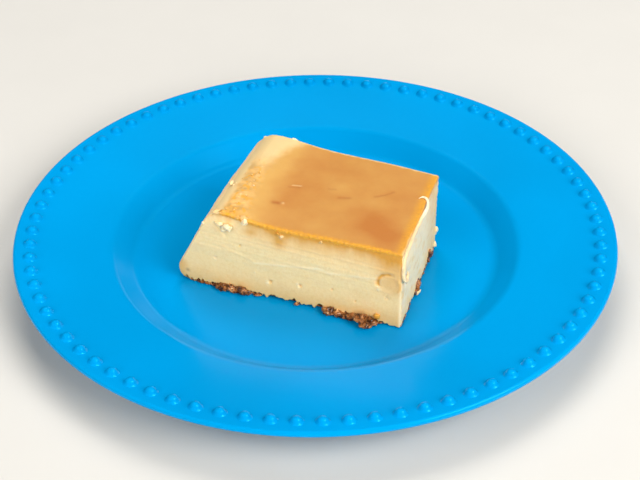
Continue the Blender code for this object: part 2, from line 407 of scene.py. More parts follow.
def feed(tree, socket, value):
    """Links a (node, output) pair to a socket, or sets the socket to a number or a linear colour."""
    if isinstance(value, float):
        socket.default_value = value
    elif isinstance(value[0], float):
        socket.default_value = (*value, 1.0)
    else:
        tree.links.new(value[0].outputs[value[1]], socket)


def add_node(tree, kind, settings=None, links=None):
    """Adds a node, sets its properties and sockets, and links its inputs to other nodes' outputs."""
    node = tree.nodes.new(kind)
    for name, value in (settings or {}).items():
        if isinstance(name, str) and hasattr(node, name):
            setattr(node, name, value)
        else:
            node.inputs[name].default_value = value
    for name, source in (links or {}).items():
        feed(tree, node.inputs[name], source)
    return node


def calculate(tree, operation, *inputs):
    """A math node's result, from inputs that are numbers or (node, output) pairs."""
    node = add_node(tree, "ShaderNodeMath", {"operation": operation})
    for socket, value in zip(node.inputs, inputs):
        feed(tree, socket, value)
    return node, 0


def add_ramp(tree, source, stops):
    """A noise's colour ramp between (position, linear colour) stops."""
    node = add_node(tree, "ShaderNodeValToRGB", links={"Fac": (source, "Fac")})
    ramp = node.color_ramp
    while len(ramp.elements) < len(stops):
        ramp.elements.new(0.5)
    for element, (position, colour) in zip(ramp.elements, stops):
        element.position = position
        element.color = (*colour, 1.0)
    return node, "Color"


def new_material(name, settings, glow=()):
    """A material, its tree and its shader; glow is the subsurface weight, radii and scale."""
    material = bpy.data.materials.new(name)
    material.use_nodes = True
    shader = material.node_tree.nodes["Principled BSDF"]
    under_skin = zip(("Subsurface Weight", "Subsurface Radius", "Subsurface Scale"), glow)
    for socket, value in (*settings.items(), *under_skin):
        shader.inputs[socket].default_value = value
    return material, material.node_tree, shader


def mix_colours(tree, factor, first, second):
    """Mixes two colours, each a linear colour or a (node, output) pair, by a (node, output) factor."""
    node = add_node(tree, "ShaderNodeMix", {"data_type": "RGBA"}, {0: factor, 6: first, 7: second})
    return node, 2


def paint_over(tree, below, layers):
    """Lays (attribute, colour) layers over a colour, each as far as its vertex attribute says."""
    for attribute, colour in layers:
        share = add_node(tree, "ShaderNodeAttribute", {"attribute_name": attribute})
        below = mix_colours(tree, (share, "Fac"), below, colour)
    return below


def scaled_noise(tree, length, detail=2.0, rough=0.5):
    """A noise texture on Object coordinates whose lumps are about length millimetres long."""
    place = add_node(tree, "ShaderNodeTexCoord")
    return add_node(tree, "ShaderNodeTexNoise",
                    {"Scale": 1.0 / (length * MM), "Detail": detail, "Roughness": rough},
                    {"Vector": (place, "Object")})


def finish_surface(tree, shader, colour, bumps=None, height=0.0, strength=1.0):
    """Gives the shader its colour, and bumps from a noise with their height in millimetres."""
    feed(tree, shader.inputs["Base Color"], colour)
    if bumps:
        bump = add_node(tree, "ShaderNodeBump", {"Strength": strength, "Distance": height * MM},
                        {"Height": (bumps, "Fac")})
        feed(tree, shader.inputs["Normal"], (bump, "Normal"))


def times(colour, factor=1.0):
    """A colour made darker or lighter by a factor."""
    return tuple(min(part * factor, 1.0) for part in colour)


def plate_plastic(colour):
    """Injection-moulded polypropylene: one saturated colour with a soft sheen from a satin mould."""
    material, tree, shader = new_material("moulded polypropylene", {
        "Roughness": 0.20, "IOR": 1.49, "Specular IOR Level": 0.20, "Specular Tint": (0.02, 0.60, 1.0, 1.0)})
    tone = add_ramp(tree, scaled_noise(tree, 60.0, 1.0), [(0.35, times(colour, 0.93)), (0.65, colour)])
    # a mould's fine spark texture, drawn coarser than the real 0.05 mm so that it shows
    finish_surface(tree, shader, tone, scaled_noise(tree, 0.35), 0.012, 0.5)
    return material


def baked_custard(cream, stain, brown):
    """Baked egg custard: matt and moist, lit softly from inside, stained where caramel ran down; its stain
    and brown layers also carry painted shade.
    """
    material, tree, shader = new_material("baked egg custard", {
        "Roughness": 0.48, "IOR": 1.40, "Specular IOR Level": 0.35}, (0.22, (1.0, 0.7, 0.4), 0.0016))
    body = add_ramp(tree, scaled_noise(tree, 14.0), [(0.30, times(cream, 0.955)), (0.70, cream)])
    # pores and curd specks about half a millimetre across
    specks = scaled_noise(tree, 1.1, 3.0, 0.6)
    speckle = add_node(tree, "ShaderNodeMapRange", {"From Min": 0.42, "From Max": 0.72, "To Max": 0.16},
                       {"Value": (specks, "Fac")})
    spotted = mix_colours(tree, (speckle, "Result"), body, stain)
    layers = [("soak", stain), ("pale", linear("FFF2D4")), ("baked", brown)]
    finish_surface(tree, shader, paint_over(tree, spotted, layers), scaled_noise(tree, 0.7, 3.0), 0.10, 0.6)
    return material


def caramel_skin(golden, deep, yellow, rim_gold):
    """Caramel soaked into the custard's face against the pan: glossy, mottled amber over cream."""
    material, tree, shader = new_material("caramel-soaked skin", {
        "IOR": 1.46, "Specular IOR Level": 0.40}, (0.12, (1.0, 0.6, 0.3), 0.001))
    amber = add_node(tree, "ShaderNodeAttribute", {"attribute_name": "amber"})
    uneven = calculate(tree, "MULTIPLY_ADD", (scaled_noise(tree, 9.0, 3.0, 0.55), "Fac"), 0.5, -0.25)
    depth = calculate(tree, "ADD", (amber, "Fac"), uneven)
    depth[0].use_clamp = True
    cloudy = mix_colours(tree, depth, golden, deep)
    crumbly = add_ramp(tree, scaled_noise(tree, 5.5, 2.5, 0.6), [
        (0.34, times(yellow, 0.78)), (0.50, yellow), (0.66, times(yellow, 1.22))])
    layers = [("band", crumbly), ("rim", rim_gold), ("shade", linear("9A4A24")), ("pale", linear("E6C78E"))]
    finish_surface(tree, shader, paint_over(tree, cloudy, layers), scaled_noise(tree, 1.6, 3.0), 0.05, 0.5)
    # the crumbly band is drier than the skin beside it
    band = add_node(tree, "ShaderNodeAttribute", {"attribute_name": "band"})
    dry = add_node(tree, "ShaderNodeMapRange", {"To Min": 0.30, "To Max": 0.55}, {"Value": (band, "Fac")})
    feed(tree, shader.inputs["Roughness"], (dry, "Result"))
    return material


def browned_milk_skin(light, dark):
    """Milk skin baked brown and wrinkled where the custard met the oven's air."""
    material, tree, shader = new_material("browned milk skin", {
        "Roughness": 0.28, "IOR": 1.45, "Specular IOR Level": 0.6}, (0.1, (1.0, 0.4, 0.15), 0.001))
    blisters = scaled_noise(tree, 3.2, 4.0, 0.7)
    middle = tuple(0.45 * a + 0.55 * b for a, b in zip(light, dark))
    tone = add_ramp(tree, blisters, [(0.42, dark), (0.50, middle), (0.58, light), (0.68, linear("E8BE84"))])
    finish_surface(tree, shader, tone, blisters, 0.5, 0.8)
    return material


def painted_floor(colour):
    """Matt painted board: pale and plain."""
    material, tree, shader = new_material("matt painted board", {
        "Roughness": 0.75, "Specular IOR Level": 0.2})
    tone = add_ramp(tree, scaled_noise(tree, 40.0), [(0.3, times(colour, 0.985)), (0.7, colour)])
    finish_surface(tree, shader, tone)
    return material


def new_tree(name, sockets):
    """A geometry tree with (name, kind) inputs, and the node that gives them."""
    tree = bpy.data.node_groups.new(name, "GeometryNodeTree")
    for socket, kind in sockets:
        tree.interface.new_socket(socket, in_out="INPUT", socket_type="NodeSocket" + kind)
    tree.interface.new_socket("Geometry", in_out="OUTPUT", socket_type="NodeSocketGeometry")
    return tree, add_node(tree, "NodeGroupInput")


def finish_tree(tree, material, links):
    """Sets copies of a piece on points, and gives them out as one smooth mesh of a material."""
    copies = add_node(tree, "GeometryNodeInstanceOnPoints", links=links)
    whole = add_node(tree, "GeometryNodeRealizeInstances", links={"Geometry": (copies, "Instances")})
    smooth = add_node(tree, "GeometryNodeSetShadeSmooth", links={"Geometry": (whole, "Geometry")})
    painted = add_node(tree, "GeometryNodeSetMaterial", {"Material": material},
                       {"Geometry": (smooth, "Geometry")})
    add_node(tree, "NodeGroupOutput", links={"Geometry": (painted, "Geometry")})


def grow_from_tree(name, tree, values, start=None):
    """Runs a geometry tree with its named inputs set, and keeps the result as a plain mesh object."""
    mesh = start or bpy.data.meshes.new(name + " start")
    carrier = add_object(name + " carrier", mesh)
    modifier = carrier.modifiers.new("grow", "NODES")
    modifier.node_group = tree
    for socket in tree.interface.items_tree:
        if socket.item_type == "SOCKET" and socket.in_out == "INPUT" and socket.name in values:
            modifier[socket.identifier] = values[socket.name]
    graph = bpy.context.evaluated_depsgraph_get()
    grown = bpy.data.meshes.new_from_object(carrier.evaluated_get(graph))
    grown.name = name
    carrier.modifiers.remove(modifier)
    bpy.data.objects.remove(carrier)
    return add_object(name, grown)


# Plate ---------------------------------------------------------------------------------------------

def rim_height(radius):
    slope = (PLATE_HEIGHT - SHOULDER_HEIGHT) / (PLATE_RADIUS - SHOULDER_RADIUS)
    return SHOULDER_HEIGHT + slope * (radius - SHOULDER_RADIUS)


def offset_line(points, distance):
    """The same line moved sideways, to the right of its direction, with mitred corners."""
    moved = []
    for index, point in enumerate(points):
        sides = []
        if index > 0:
            sides.append((point - points[index - 1]).normalized())
        if index < len(points) - 1:
            sides.append((points[index + 1] - point).normalized())
        normals = [Vector((side.y, -side.x)) for side in sides]
        middle = sum(normals, Vector((0.0, 0.0))).normalized()
        moved.append(point + middle * (distance / middle.dot(normals[0])))
    return moved


def plate_outline(radius):
    """Half section of the plate as (radius, height), from the middle of the top to that of the base."""
    top = [Vector((0.0, FLOOR_HEIGHT)), Vector((FLOOR_RADIUS, FLOOR_HEIGHT)),
           Vector((SHOULDER_RADIUS, SHOULDER_HEIGHT)), Vector((radius, PLATE_HEIGHT))]
    base = offset_line(top, PLATE_WALL)
    under = base[1].y
    foot_out = FOOT_RADIUS + FOOT_WIDTH / 2.0
    foot_in = FOOT_RADIUS - FOOT_WIDTH / 2.0
    corners = [
        (0.0, FLOOR_HEIGHT, 0.0),
        (FLOOR_RADIUS, FLOOR_HEIGHT, WELL_ROUNDING),
        (SHOULDER_RADIUS, SHOULDER_HEIGHT, WELL_ROUNDING),
        (radius, PLATE_HEIGHT, LIP_ROUNDING),
        (radius, PLATE_HEIGHT - LIP_DEPTH, LIP_ROUNDING),
        (base[2].x, base[2].y, WELL_ROUNDING),
        (base[1].x, under, 2.0),
        (foot_out + FOOT_DRAFT, under, 0.5),
        (foot_out, 0.0, 0.5),
        (foot_in, 0.0, 0.5),
        (foot_in - FOOT_DRAFT, under, 0.5),
        (0.0, under, 0.0),
    ]
    return rounded_outline(corners, 7)


def make_plate_body(sizes):
    outline = plate_outline(sizes.plate_radius / MM - BOX_MARGIN)
    columns = sizes.plate_columns
    turns = even_turns(columns)
    rows = []
    for point, after in zip(outline[1:-1], outline[2:]):
        rows.append(point)
        if (after - point).length > LONG_FLAT:     # long flats get rings of their own
            rows.extend(point.lerp(after, share) for share in (0.25, 0.5, 0.75))
    points = [(row.x * math.cos(turn), row.x * math.sin(turn), row.y) for row in rows for turn in turns]
    faces = tube_faces(len(rows), columns)
    points += [(0.0, 0.0, outline[0].y), (0.0, 0.0, outline[-1].y)]
    faces += fan_faces(range(columns), len(points) - 2)
    faces += fan_faces(range((len(rows) - 1) * columns, len(rows) * columns), len(points) - 1)
    item = make_object("plate_body", points, faces, plate_plastic(sizes.plate_colour), SHARP_PLASTIC)
    return finish_piece(item, ["plate"])


def bead_tree(material):
    """Beads on a circle: each is a squashed ball that flares at its foot and stands square to the rim."""
    tree, sizes = new_tree("rim bead row", [
        ("Count", "Int"), ("Circle", "Float"), ("Height", "Float"), ("Radius", "Float"), ("Rise", "Float"),
        ("Slope", "Float"), ("Phase", "Float")])
    node, maths = partial(add_node, tree), partial(calculate, tree)
    ball = node("GeometryNodeMeshUVSphere", {"Segments": 24, "Rings": 18, "Radius": 1.0})
    place = node("GeometryNodeInputPosition")
    parts = node("ShaderNodeSeparateXYZ", links={"Vector": (place, "Position")})
    low = maths("MULTIPLY_ADD", (parts, "Z"), -2.5, 1.0)          # from 0 at two fifths of the rise
    near = maths("MINIMUM", maths("MAXIMUM", low, 0.0), 1.3)
    flare = maths("MULTIPLY_ADD", maths("POWER", near, 2.0), 0.28, 1.0)
    reach = maths("MULTIPLY", flare, (sizes, "Radius"))
    shape = node("ShaderNodeCombineXYZ", links={"X": reach, "Y": reach, "Z": (sizes, "Rise")})
    scaled = node("ShaderNodeVectorMath", {"operation": "MULTIPLY"},
                  {0: (place, "Position"), 1: (shape, "Vector")})
    bead = node("GeometryNodeSetPosition", links={"Geometry": (ball, "Mesh"), "Position": (scaled, "Vector")})
    row = node("GeometryNodeMeshLine", links={"Count": (sizes, "Count")})
    index = node("GeometryNodeInputIndex")
    step = maths("DIVIDE", 2.0 * math.pi, (sizes, "Count"))
    angle = maths("ADD", maths("MULTIPLY", (index, "Index"), step), (sizes, "Phase"))
    east = maths("MULTIPLY", maths("COSINE", angle), (sizes, "Circle"))
    north = maths("MULTIPLY", maths("SINE", angle), (sizes, "Circle"))
    spot = node("ShaderNodeCombineXYZ", links={"X": east, "Y": north, "Z": (sizes, "Height")})
    ring = node("GeometryNodeSetPosition", links={"Geometry": (row, "Mesh"), "Position": (spot, "Vector")})
    turn = node("ShaderNodeCombineXYZ", links={"Y": maths("MULTIPLY", (sizes, "Slope"), -1.0), "Z": angle})
    finish_tree(tree, material, {"Points": (ring, "Geometry"), "Instance": (bead, "Geometry"),
                                 "Rotation": (turn, "Vector")})
    return tree


def make_rim_beads(sizes):
    slope = math.atan2(PLATE_HEIGHT - SHOULDER_HEIGHT, PLATE_RADIUS - SHOULDER_RADIUS)
    item = grow_from_tree("rim_beads", bead_tree(material_of("plate_body")), {
        "Count": sizes.bead_count, "Circle": BEAD_CIRCLE * MM,
        "Height": (rim_height(BEAD_CIRCLE) - BEAD_SINK) * MM, "Radius": sizes.bead_radius,
        "Rise": sizes.bead_rise, "Slope": slope, "Phase": BEAD_PHASE})
    return finish_piece(item)


# Custard -------------------------------------------------------------------------------------------

# Paths of (u, z) on the front cut
KNIFE_RIDGE = [(-65.6, 17.4), (-36.1, 21.8), (-31.9, 20.7), (-10.9, 23.3)]
FAINT_RIDGE = [(-80.4, 22.5), (-66.5, 18.4)]
FLAP_CRACK = [(-83.8, 34.0), (-81.5, 31.5), (-78.7, 29.1)]
FRONT_PITS = [
    # u, z, radius, depth
    (-84.1, 15.7, 0.7, 0.5), (-58.6, 8.8, 0.8, 1.0), (-44.9, 10.6, 0.6, 0.9), (-30.5, 12.5, 0.5, 0.3),
    (-20.0, 9.0, 0.5, 0.3), (-72.0, 25.0, 0.5, 0.3), (-6.4, 14.6, 0.9, 0.5),
]
FRONT_FLAKES = [
    # u, z, radius
    (-84.2, 15.4, 0.9), (-65.6, 12.2, 0.5), (-60.0, 8.2, 1.1), (-46.0, 11.2, 0.8), (-45.6, 9.7, 0.7),
    (-9.8, 18.2, 1.0), (-6.6, 14.6, 0.7), (-53.3, 34.1, 0.8),
]
BUBBLE = (-5.5, 21.7, 4.8)                      # u, z, radius
HEM_NOTCHES = [
    # u, half width, height
    (-36.2, 1.7, 3.0), (-33.8, 0.8, 1.2), (-57.2, 1.2, 2.2), (-53.8, 1.8, 1.4), (-49.0, 1.9, 1.8),
    (-46.6, 0.8, 1.1), (-64.5, 1.0, 1.0),
]
FRONT_BLOTS = [
    # u, z, half width, half height, strength
    (-54.4, 31.2, 2.6, 3.2, 0.55), (-67.2, 33.2, 3.0, 1.8, 0.45), (-56.3, 36.2, 1.1, 0.9, 0.9),
]
# stain colour inside the curl's hook on the right cut, painted as the hook's orange shadow
HOOK_PAINTED_SHADOW = (2.9, 28.0, 1.3, 3.4, 0.7)         # v, z, half width, half height, strength


def hem_height(along, seed):
    """Height of the cream's ragged lower edge above the floor."""
    height = 1.15
    for step, (strength, length) in enumerate(((1.9, 4.6), (2.2, 1.8), (0.8, 0.8))):
        height = height + strength * line_noise(along, length, seed + step)
    return np.maximum(height, 0.12)


def front_relief(u, z):
    """Four fields of the front cut: relief in millimetres, paleness where flakes lift, caramel stain in the
    pits and the bubble's groove that also stands for their painted shade, and the groove's lit side."""
    flat = np.stack([u, z], axis=1)
    slant = z + 0.05 * u

    def grain(wide, high, seed, up=z):
        return noise_at(u, 0.0, up, (wide, 1.0, high), seed)

    dragged = rise(z, 12.0, 6.0) * fall(z, 33.0, 4.0)
    relief = (dragged * 0.09 * grain(55.0, 1.3, 11, slant) + dragged * 0.06 * grain(26.0, 0.6, 12, slant)
              + 0.10 * grain(9.0, 6.0, 10) + 0.05 * grain(2.4, 2.2, 13) + 0.045 * grain(0.9, 0.8, 14)
              + rise(z, 29.0, 6.0) * 0.08 * grain(1.6, 3.2, 15))
    ridge = distance_to_path(flat, KNIFE_RIDGE)
    wavy = 0.55 + 0.45 * grain(5.0, 9.0, 16)
    pale = 0.40 * hill(ridge, 0.0, 0.6) * np.clip(wavy, 0.0, 1.0)
    relief += 0.17 * hill(ridge, 0.0, 0.5) * wavy
    relief += 0.10 * hill(distance_to_path(flat, FAINT_RIDGE), 0.0, 0.6)
    relief -= 0.4 * hill(distance_to_path(flat, FLAP_CRACK), 0.0, 0.55)
    # the pits are stained darker: caramel colour that is also painted shade in the hollows
    pit_stain_and_shade = np.zeros_like(u)
    wander = grain(0.9, 0.9, 19)
    for at, height, radius, depth in FRONT_PITS:
        bent = 0.5 * radius * wander
        pit = np.exp(-(np.hypot(u - at + bent, (z - height) * 0.8 + bent) / radius) ** 3)
        relief -= depth * pit
        pit_stain_and_shade = np.maximum(pit_stain_and_shade, pit)
    wander = grain(0.9, 0.7, 17)
    for at, height, radius in FRONT_FLAKES:
        bent = 0.9 * radius * wander
        lift = np.exp(-(np.hypot((u - at + bent) * 1.25, (z - height) * 0.85 - bent) / radius) ** 3)
        relief += 0.20 * lift
        pale = np.maximum(pale, 0.30 * lift)
    at, height, radius = BUBBLE
    away = np.hypot(u - at, z - height)
    turn = np.degrees(np.arctan2(z - height, u - at))
    groove = hill(away, radius, 0.95)
    # the groove's dark side is stained darker: caramel colour that is also painted shade
    dark_side = groove * np.maximum(rise(turn, 55.0, 35.0) * fall(turn, 215.0, 25.0),
                                    fall(turn, -150.0, 15.0))
    lit_side = groove * fall(np.abs(turn + 5.0), 55.0, 30.0)
    relief -= 0.80 * dark_side * (0.7 + 0.5 * grain(1.6, 1.6, 18))
    relief -= 0.16 * fall(away, radius, 2.0)
    relief += 0.22 * lit_side
    return relief, pale, np.maximum(dark_side, 0.6 * pit_stain_and_shade), lit_side


def front_soak(u, z):
    """Caramel that ran down the front cut: strongest right under the skin, in short drags."""
    reach = 2.2 + 2.2 * rise(u, -72.0, 20.0) + 2.6 * line_noise(u, 5.0, 21)
    reach += 1.4 * noise_at(u, 0.0, z, (1.4, 1.0, 8.0), 22)
    depth = top_height(u) - CARAMEL_DEPTH - z
    soak = 0.85 * np.exp(-np.maximum(depth, 0.0) / np.maximum(reach * 0.55, 0.6))
    wash = 0.42 * fall(depth, 13.0, 13.0) * rise(u, -78.0, 18.0)
    right = 0.48 * rise(u, -16.0, 12.0) * rise(z, 12.0, 10.0)
    low = 0.34 * fall(z, 12.0, 11.0) + 0.12 * fall(z, 20.0, 10.0)
    mottle = 0.10 * noise_at(u, 0.0, z, (6.0, 1.0, 3.0), 23)
    return np.clip(soak + wash + mounds(u, z, FRONT_BLOTS) + right + low + mottle * (0.4 + soak), 0.0, 1.0)


def sides_of(across, share_back):
    """Which points lie on each side: the front holds its corners, and cut is the back and the right."""
    front, back = share_back < 1e-6, share_back > 1.0 - 1e-6
    right, left = across > 1.0 - 1e-6, across < 1e-6
    return SimpleNamespace(front=front, back=back, right=right & ~front, cut=(right | back) & ~front,
                           pan=left & ~front & ~back, on_right=right, on_left=left)


def rounded_uprights(u, v, across, on):
    """Rounds the upright edges slightly, as the knife leaves them."""
    flat_u, flat_v = u, v
    span = -BASE_LINE.at(np.zeros(1))[0, 0]
    bend = math.radians(45.0)
    for on_side, inward, along_u in ((on.on_right, -1.0, -flat_u), (on.on_left, 1.0, across * span)):
        far_u = np.clip(along_u / UPRIGHT_ROUNDING, 0.0, 1.0)
        for on_end, ahead, along_v in ((on.front, 1.0, flat_v), (on.back, -1.0, depth_at(flat_u) - flat_v)):
            far_v = np.clip(along_v / UPRIGHT_ROUNDING, 0.0, 1.0)
            for move, far, order in ((on_end & (far_u < 1.0), far_u, 1),
                                     (on_side & ~on_end & (far_v < 1.0), far_v, -1)):
                turn = bend * (1.0 - far)
                shift_u, shift_v = ((1.0 - np.sin(turn)) - far, 1.0 - np.cos(turn))[::order]
                u = np.where(move, u + inward * UPRIGHT_ROUNDING * shift_u, u)
                v = np.where(move, v + ahead * UPRIGHT_ROUNDING * shift_v, v)
    return u, v


def custard_surface(u, v, z, up, on):
    """Four fields of the custard's sides: relief in millimetres, soak, paleness and browning; soak and
    browning also carry painted shade.
    """

    def grain(lengths, seed, slope=0.0):
        return noise_at(u, v, z + slope * v, lengths, seed)

    relief, pale, hollow_stain_and_shade, lit_groove = front_relief(u, z)
    # the other two cuts, and the side that stood against the pan
    cut = (0.08 * grain((14.0, 26.0, 1.4), 31, 0.04) + 0.04 * grain((9.0, 10.0, 0.7), 32)
           + 0.12 * grain((2.0, 2.4, 2.0), 33) + 0.07 * grain((0.9, 0.9, 0.8), 34))
    ridges = 0.26 * grain((40.0, 24.0, 4.6), 35, 0.25) * rise(z, 3.0, 6.0) + 0.30 * grain((3.0, 5.0, 2.4), 39)
    pan = 0.22 * grain(7.0, 36) + 0.10 * grain(1.8, 37) + 0.05 * grain(0.8, 38)
    relief = np.select([on.front, on.right, on.cut, on.pan], [relief, cut + ridges, cut, pan])
    # ragged lower edge: under the hem the cut is torn back and browned, and the brown in the recess is also
    # painted shade
    hem = hem_height(np.where(on.front | on.back, u, v), 41)
    notched = hem
    for at, width, height in HEM_NOTCHES:
        notched = np.maximum(notched, height * np.exp(-((u - at) / width) ** 4))
    hem = np.select([on.front, on.pan], [notched * (1.0 - 0.75 * rise(u, -9.0, 5.0)), 0.8], hem)
    under = fall(z, hem, 0.30)
    relief -= under * np.where(on.pan, 0.3, 2.6 + 0.9 * grain((1.6, 1.6, 0.8), 43))
    relief *= fall(up, 1.0, 0.02)

    soak = np.maximum.reduce([front_soak(u, z), 0.95 * hollow_stain_and_shade, 0.70 * lit_groove])
    worn_edge = 0.30 * rise(u, -1.5, 1.2) * fall(z, 21.0, 4.0)
    below = top_height(u) - z
    cut_soak = 0.55 * np.exp(-np.maximum(below - CARAMEL_DEPTH, 0.0) / 1.6) + 0.10
    # the right cut is torn and whiter, with a thin line of caramel under the worn edge
    line = hill(below, 4.4 + 0.5 * noise_at(0.0, v, 0.0, 5.0, 53), 0.8)
    line *= rise(v, 2.0, 3.0) * fall(v, 38.0, 4.0)
    # stain near the top of the right cut, and the hook's painted orange shadow
    top_stain_and_hook_shadow = 0.14 + 0.42 * fall(below, 3.8, 2.5) * rise(v, 1.0, 3.0) + mounds(v, z, [HOOK_PAINTED_SHADOW])
    # stain colour toward the back and the bottom of the right cut, as painted shade
    painted_shade_back_and_low = 0.30 * rise(v, 38.0, 14.0) + 0.16 * fall(z, 12.0, 8.0)
    right_soak = np.maximum(top_stain_and_hook_shadow + 0.5 * painted_shade_back_and_low, 0.95 * line)
    middle = rise(v, -1.0, 6.0) * fall(v, 52.0, 16.0) * rise(z, 2.0, 12.0)
    torn_white = 0.14 + 0.32 * middle - 0.34 * rise(grain((4.0, 5.0, 3.0), 54), 0.05, 0.4)
    torn_white = np.clip(torn_white, 0.0, 1.0) * (1.0 - line)
    pale = np.select([on.front, on.right], [np.maximum(pale, worn_edge), torn_white])
    soak = np.select([on.front, on.right, on.cut, on.pan],
                     [soak * (1.0 - 0.8 * worn_edge), right_soak, cut_soak, 0.12 + 0.10 * grain(8.0, 51)])
    corner = hill(u, -100.0, 3.6) * fall(z, 14.0, 6.0)
    spot = 0.55 * np.exp(-((u + 97.4) ** 2 + (z - 5.6) ** 2) / 0.9)
    # a brown band at the ragged lower edge: baked colour, and painted shade along the base
    hem_edge_brown_and_shade = fall(z, hem + 0.9, 1.0) * smooth_step(grain(3.0, 52) * 2.0)
    # browning under the hem is baked colour and also painted shade in its recess
    baked = np.maximum.reduce([0.85 * under + 0.04 * corner, np.where(on.front, spot, 0.0),
                               0.35 * hem_edge_brown_and_shade, np.where(on.pan, 0.5 * fall(z, 5.0, 5.0), 0.0)])
    return relief, np.maximum(soak, 0.62 * corner), pale, baked


def make_custard_body(sizes):
    across_shares, back_shares = (crowded_shares(count, edge) for count, edge in zip(
        (sizes.columns_across, sizes.columns_back), CUSTARD_EDGES))
    ring = np.array([(share, 0.0) for share in across_shares[:-1]]
                    + [(1.0, share) for share in back_shares[:-1]]
                    + [(share, 1.0) for share in across_shares[:0:-1]]
                    + [(0.0, share) for share in back_shares[:0:-1]])
    rows, columns = sizes.rows_up, len(ring)
    across, share_back = np.tile(ring, (rows, 1)).T
    up = np.repeat(np.linspace(0.0, 1.0, rows) ** 1.12, columns)
    on = sides_of(across, share_back)
    u, z = section_points(across, up).T
    u, v = rounded_uprights(u, depth_at(u) * share_back, across, on)
    centres = in_frame(*np.array([(*INNER_BASE, 0.0), (*INNER_TOP, SLICE_HEIGHT - 4.5)]).T)
    faces = tube_faces(rows, columns)
    for row, centre in ((0, 0), (rows - 1, 1)):
        faces += fan_faces(range(row * columns, (row + 1) * columns), rows * columns + centre)
    item = make_object("custard_body", np.vstack([in_frame(u, v, z), centres]), faces,
                       baked_custard(sizes.cream, sizes.stain, sizes.brown), SHARP_FOOD)
    relief, soak, pale, baked = (np.append(field, (0.0, 0.0)) for field in custard_surface(u, v, z, up, on))
    raise_surface(item, relief)
    write_attributes(item, soak=soak, pale=pale, baked=baked)
    return finish_piece(item, ["custard"])


# Caramel skin --------------------------------------------------------------------------------------

BAND_EDGE = [(0.0, -66.5), (6.0, -68.5), (21.0, -72.3), (46.0, -71.9), (56.0, -69.0), (66.0, -62.5)]
CREASES = [
    # path of (u, v), half width, strength
    ([(-21.9, 35.6), (-18.5, 38.0), (-15.3, 41.5)], 0.8, 0.30), ([(-36.4, 30.2), (-32.4, 31.2)], 0.9, 0.30),
    ([(-42.6, 35.2), (-40.0, 35.6)], 0.8, 0.20), ([(-62.2, 17.0), (-60.2, 17.4)], 1.2, 0.55),
    ([(-59.4, 30.6), (-55.4, 31.6)], 0.8, 0.22),
]
# a short pale dash on the top, painted as a highlight
HIGHLIGHT_DASH = [(-58.6, 32.0), (-55.0, 32.8)]
AMBER_PATCHES = [
    # u, v, half width, half depth, strength
    (-18.0, 16.0, 8.5, 8.5, 0.48), (-8.5, 9.0, 7.5, 7.5, 0.42), (-58.0, 26.0, 9.0, 13.0, 0.22),
    (-44.0, 47.0, 14.0, 9.0, 0.10), (-38.0, 38.0, 6.0, 5.0, -0.20), (-9.0, 35.0, 7.0, 7.0, 0.20),
    (-44.0, 8.0, 12.0, 4.5, -0.12), (-26.0, 30.0, 9.0, 5.0, -0.08),
]


def band_edge(v):
    """Where the crumbly band along the pan side ends, at a depth from front to back."""
    return np.interp(v, *zip(*BAND_EDGE))


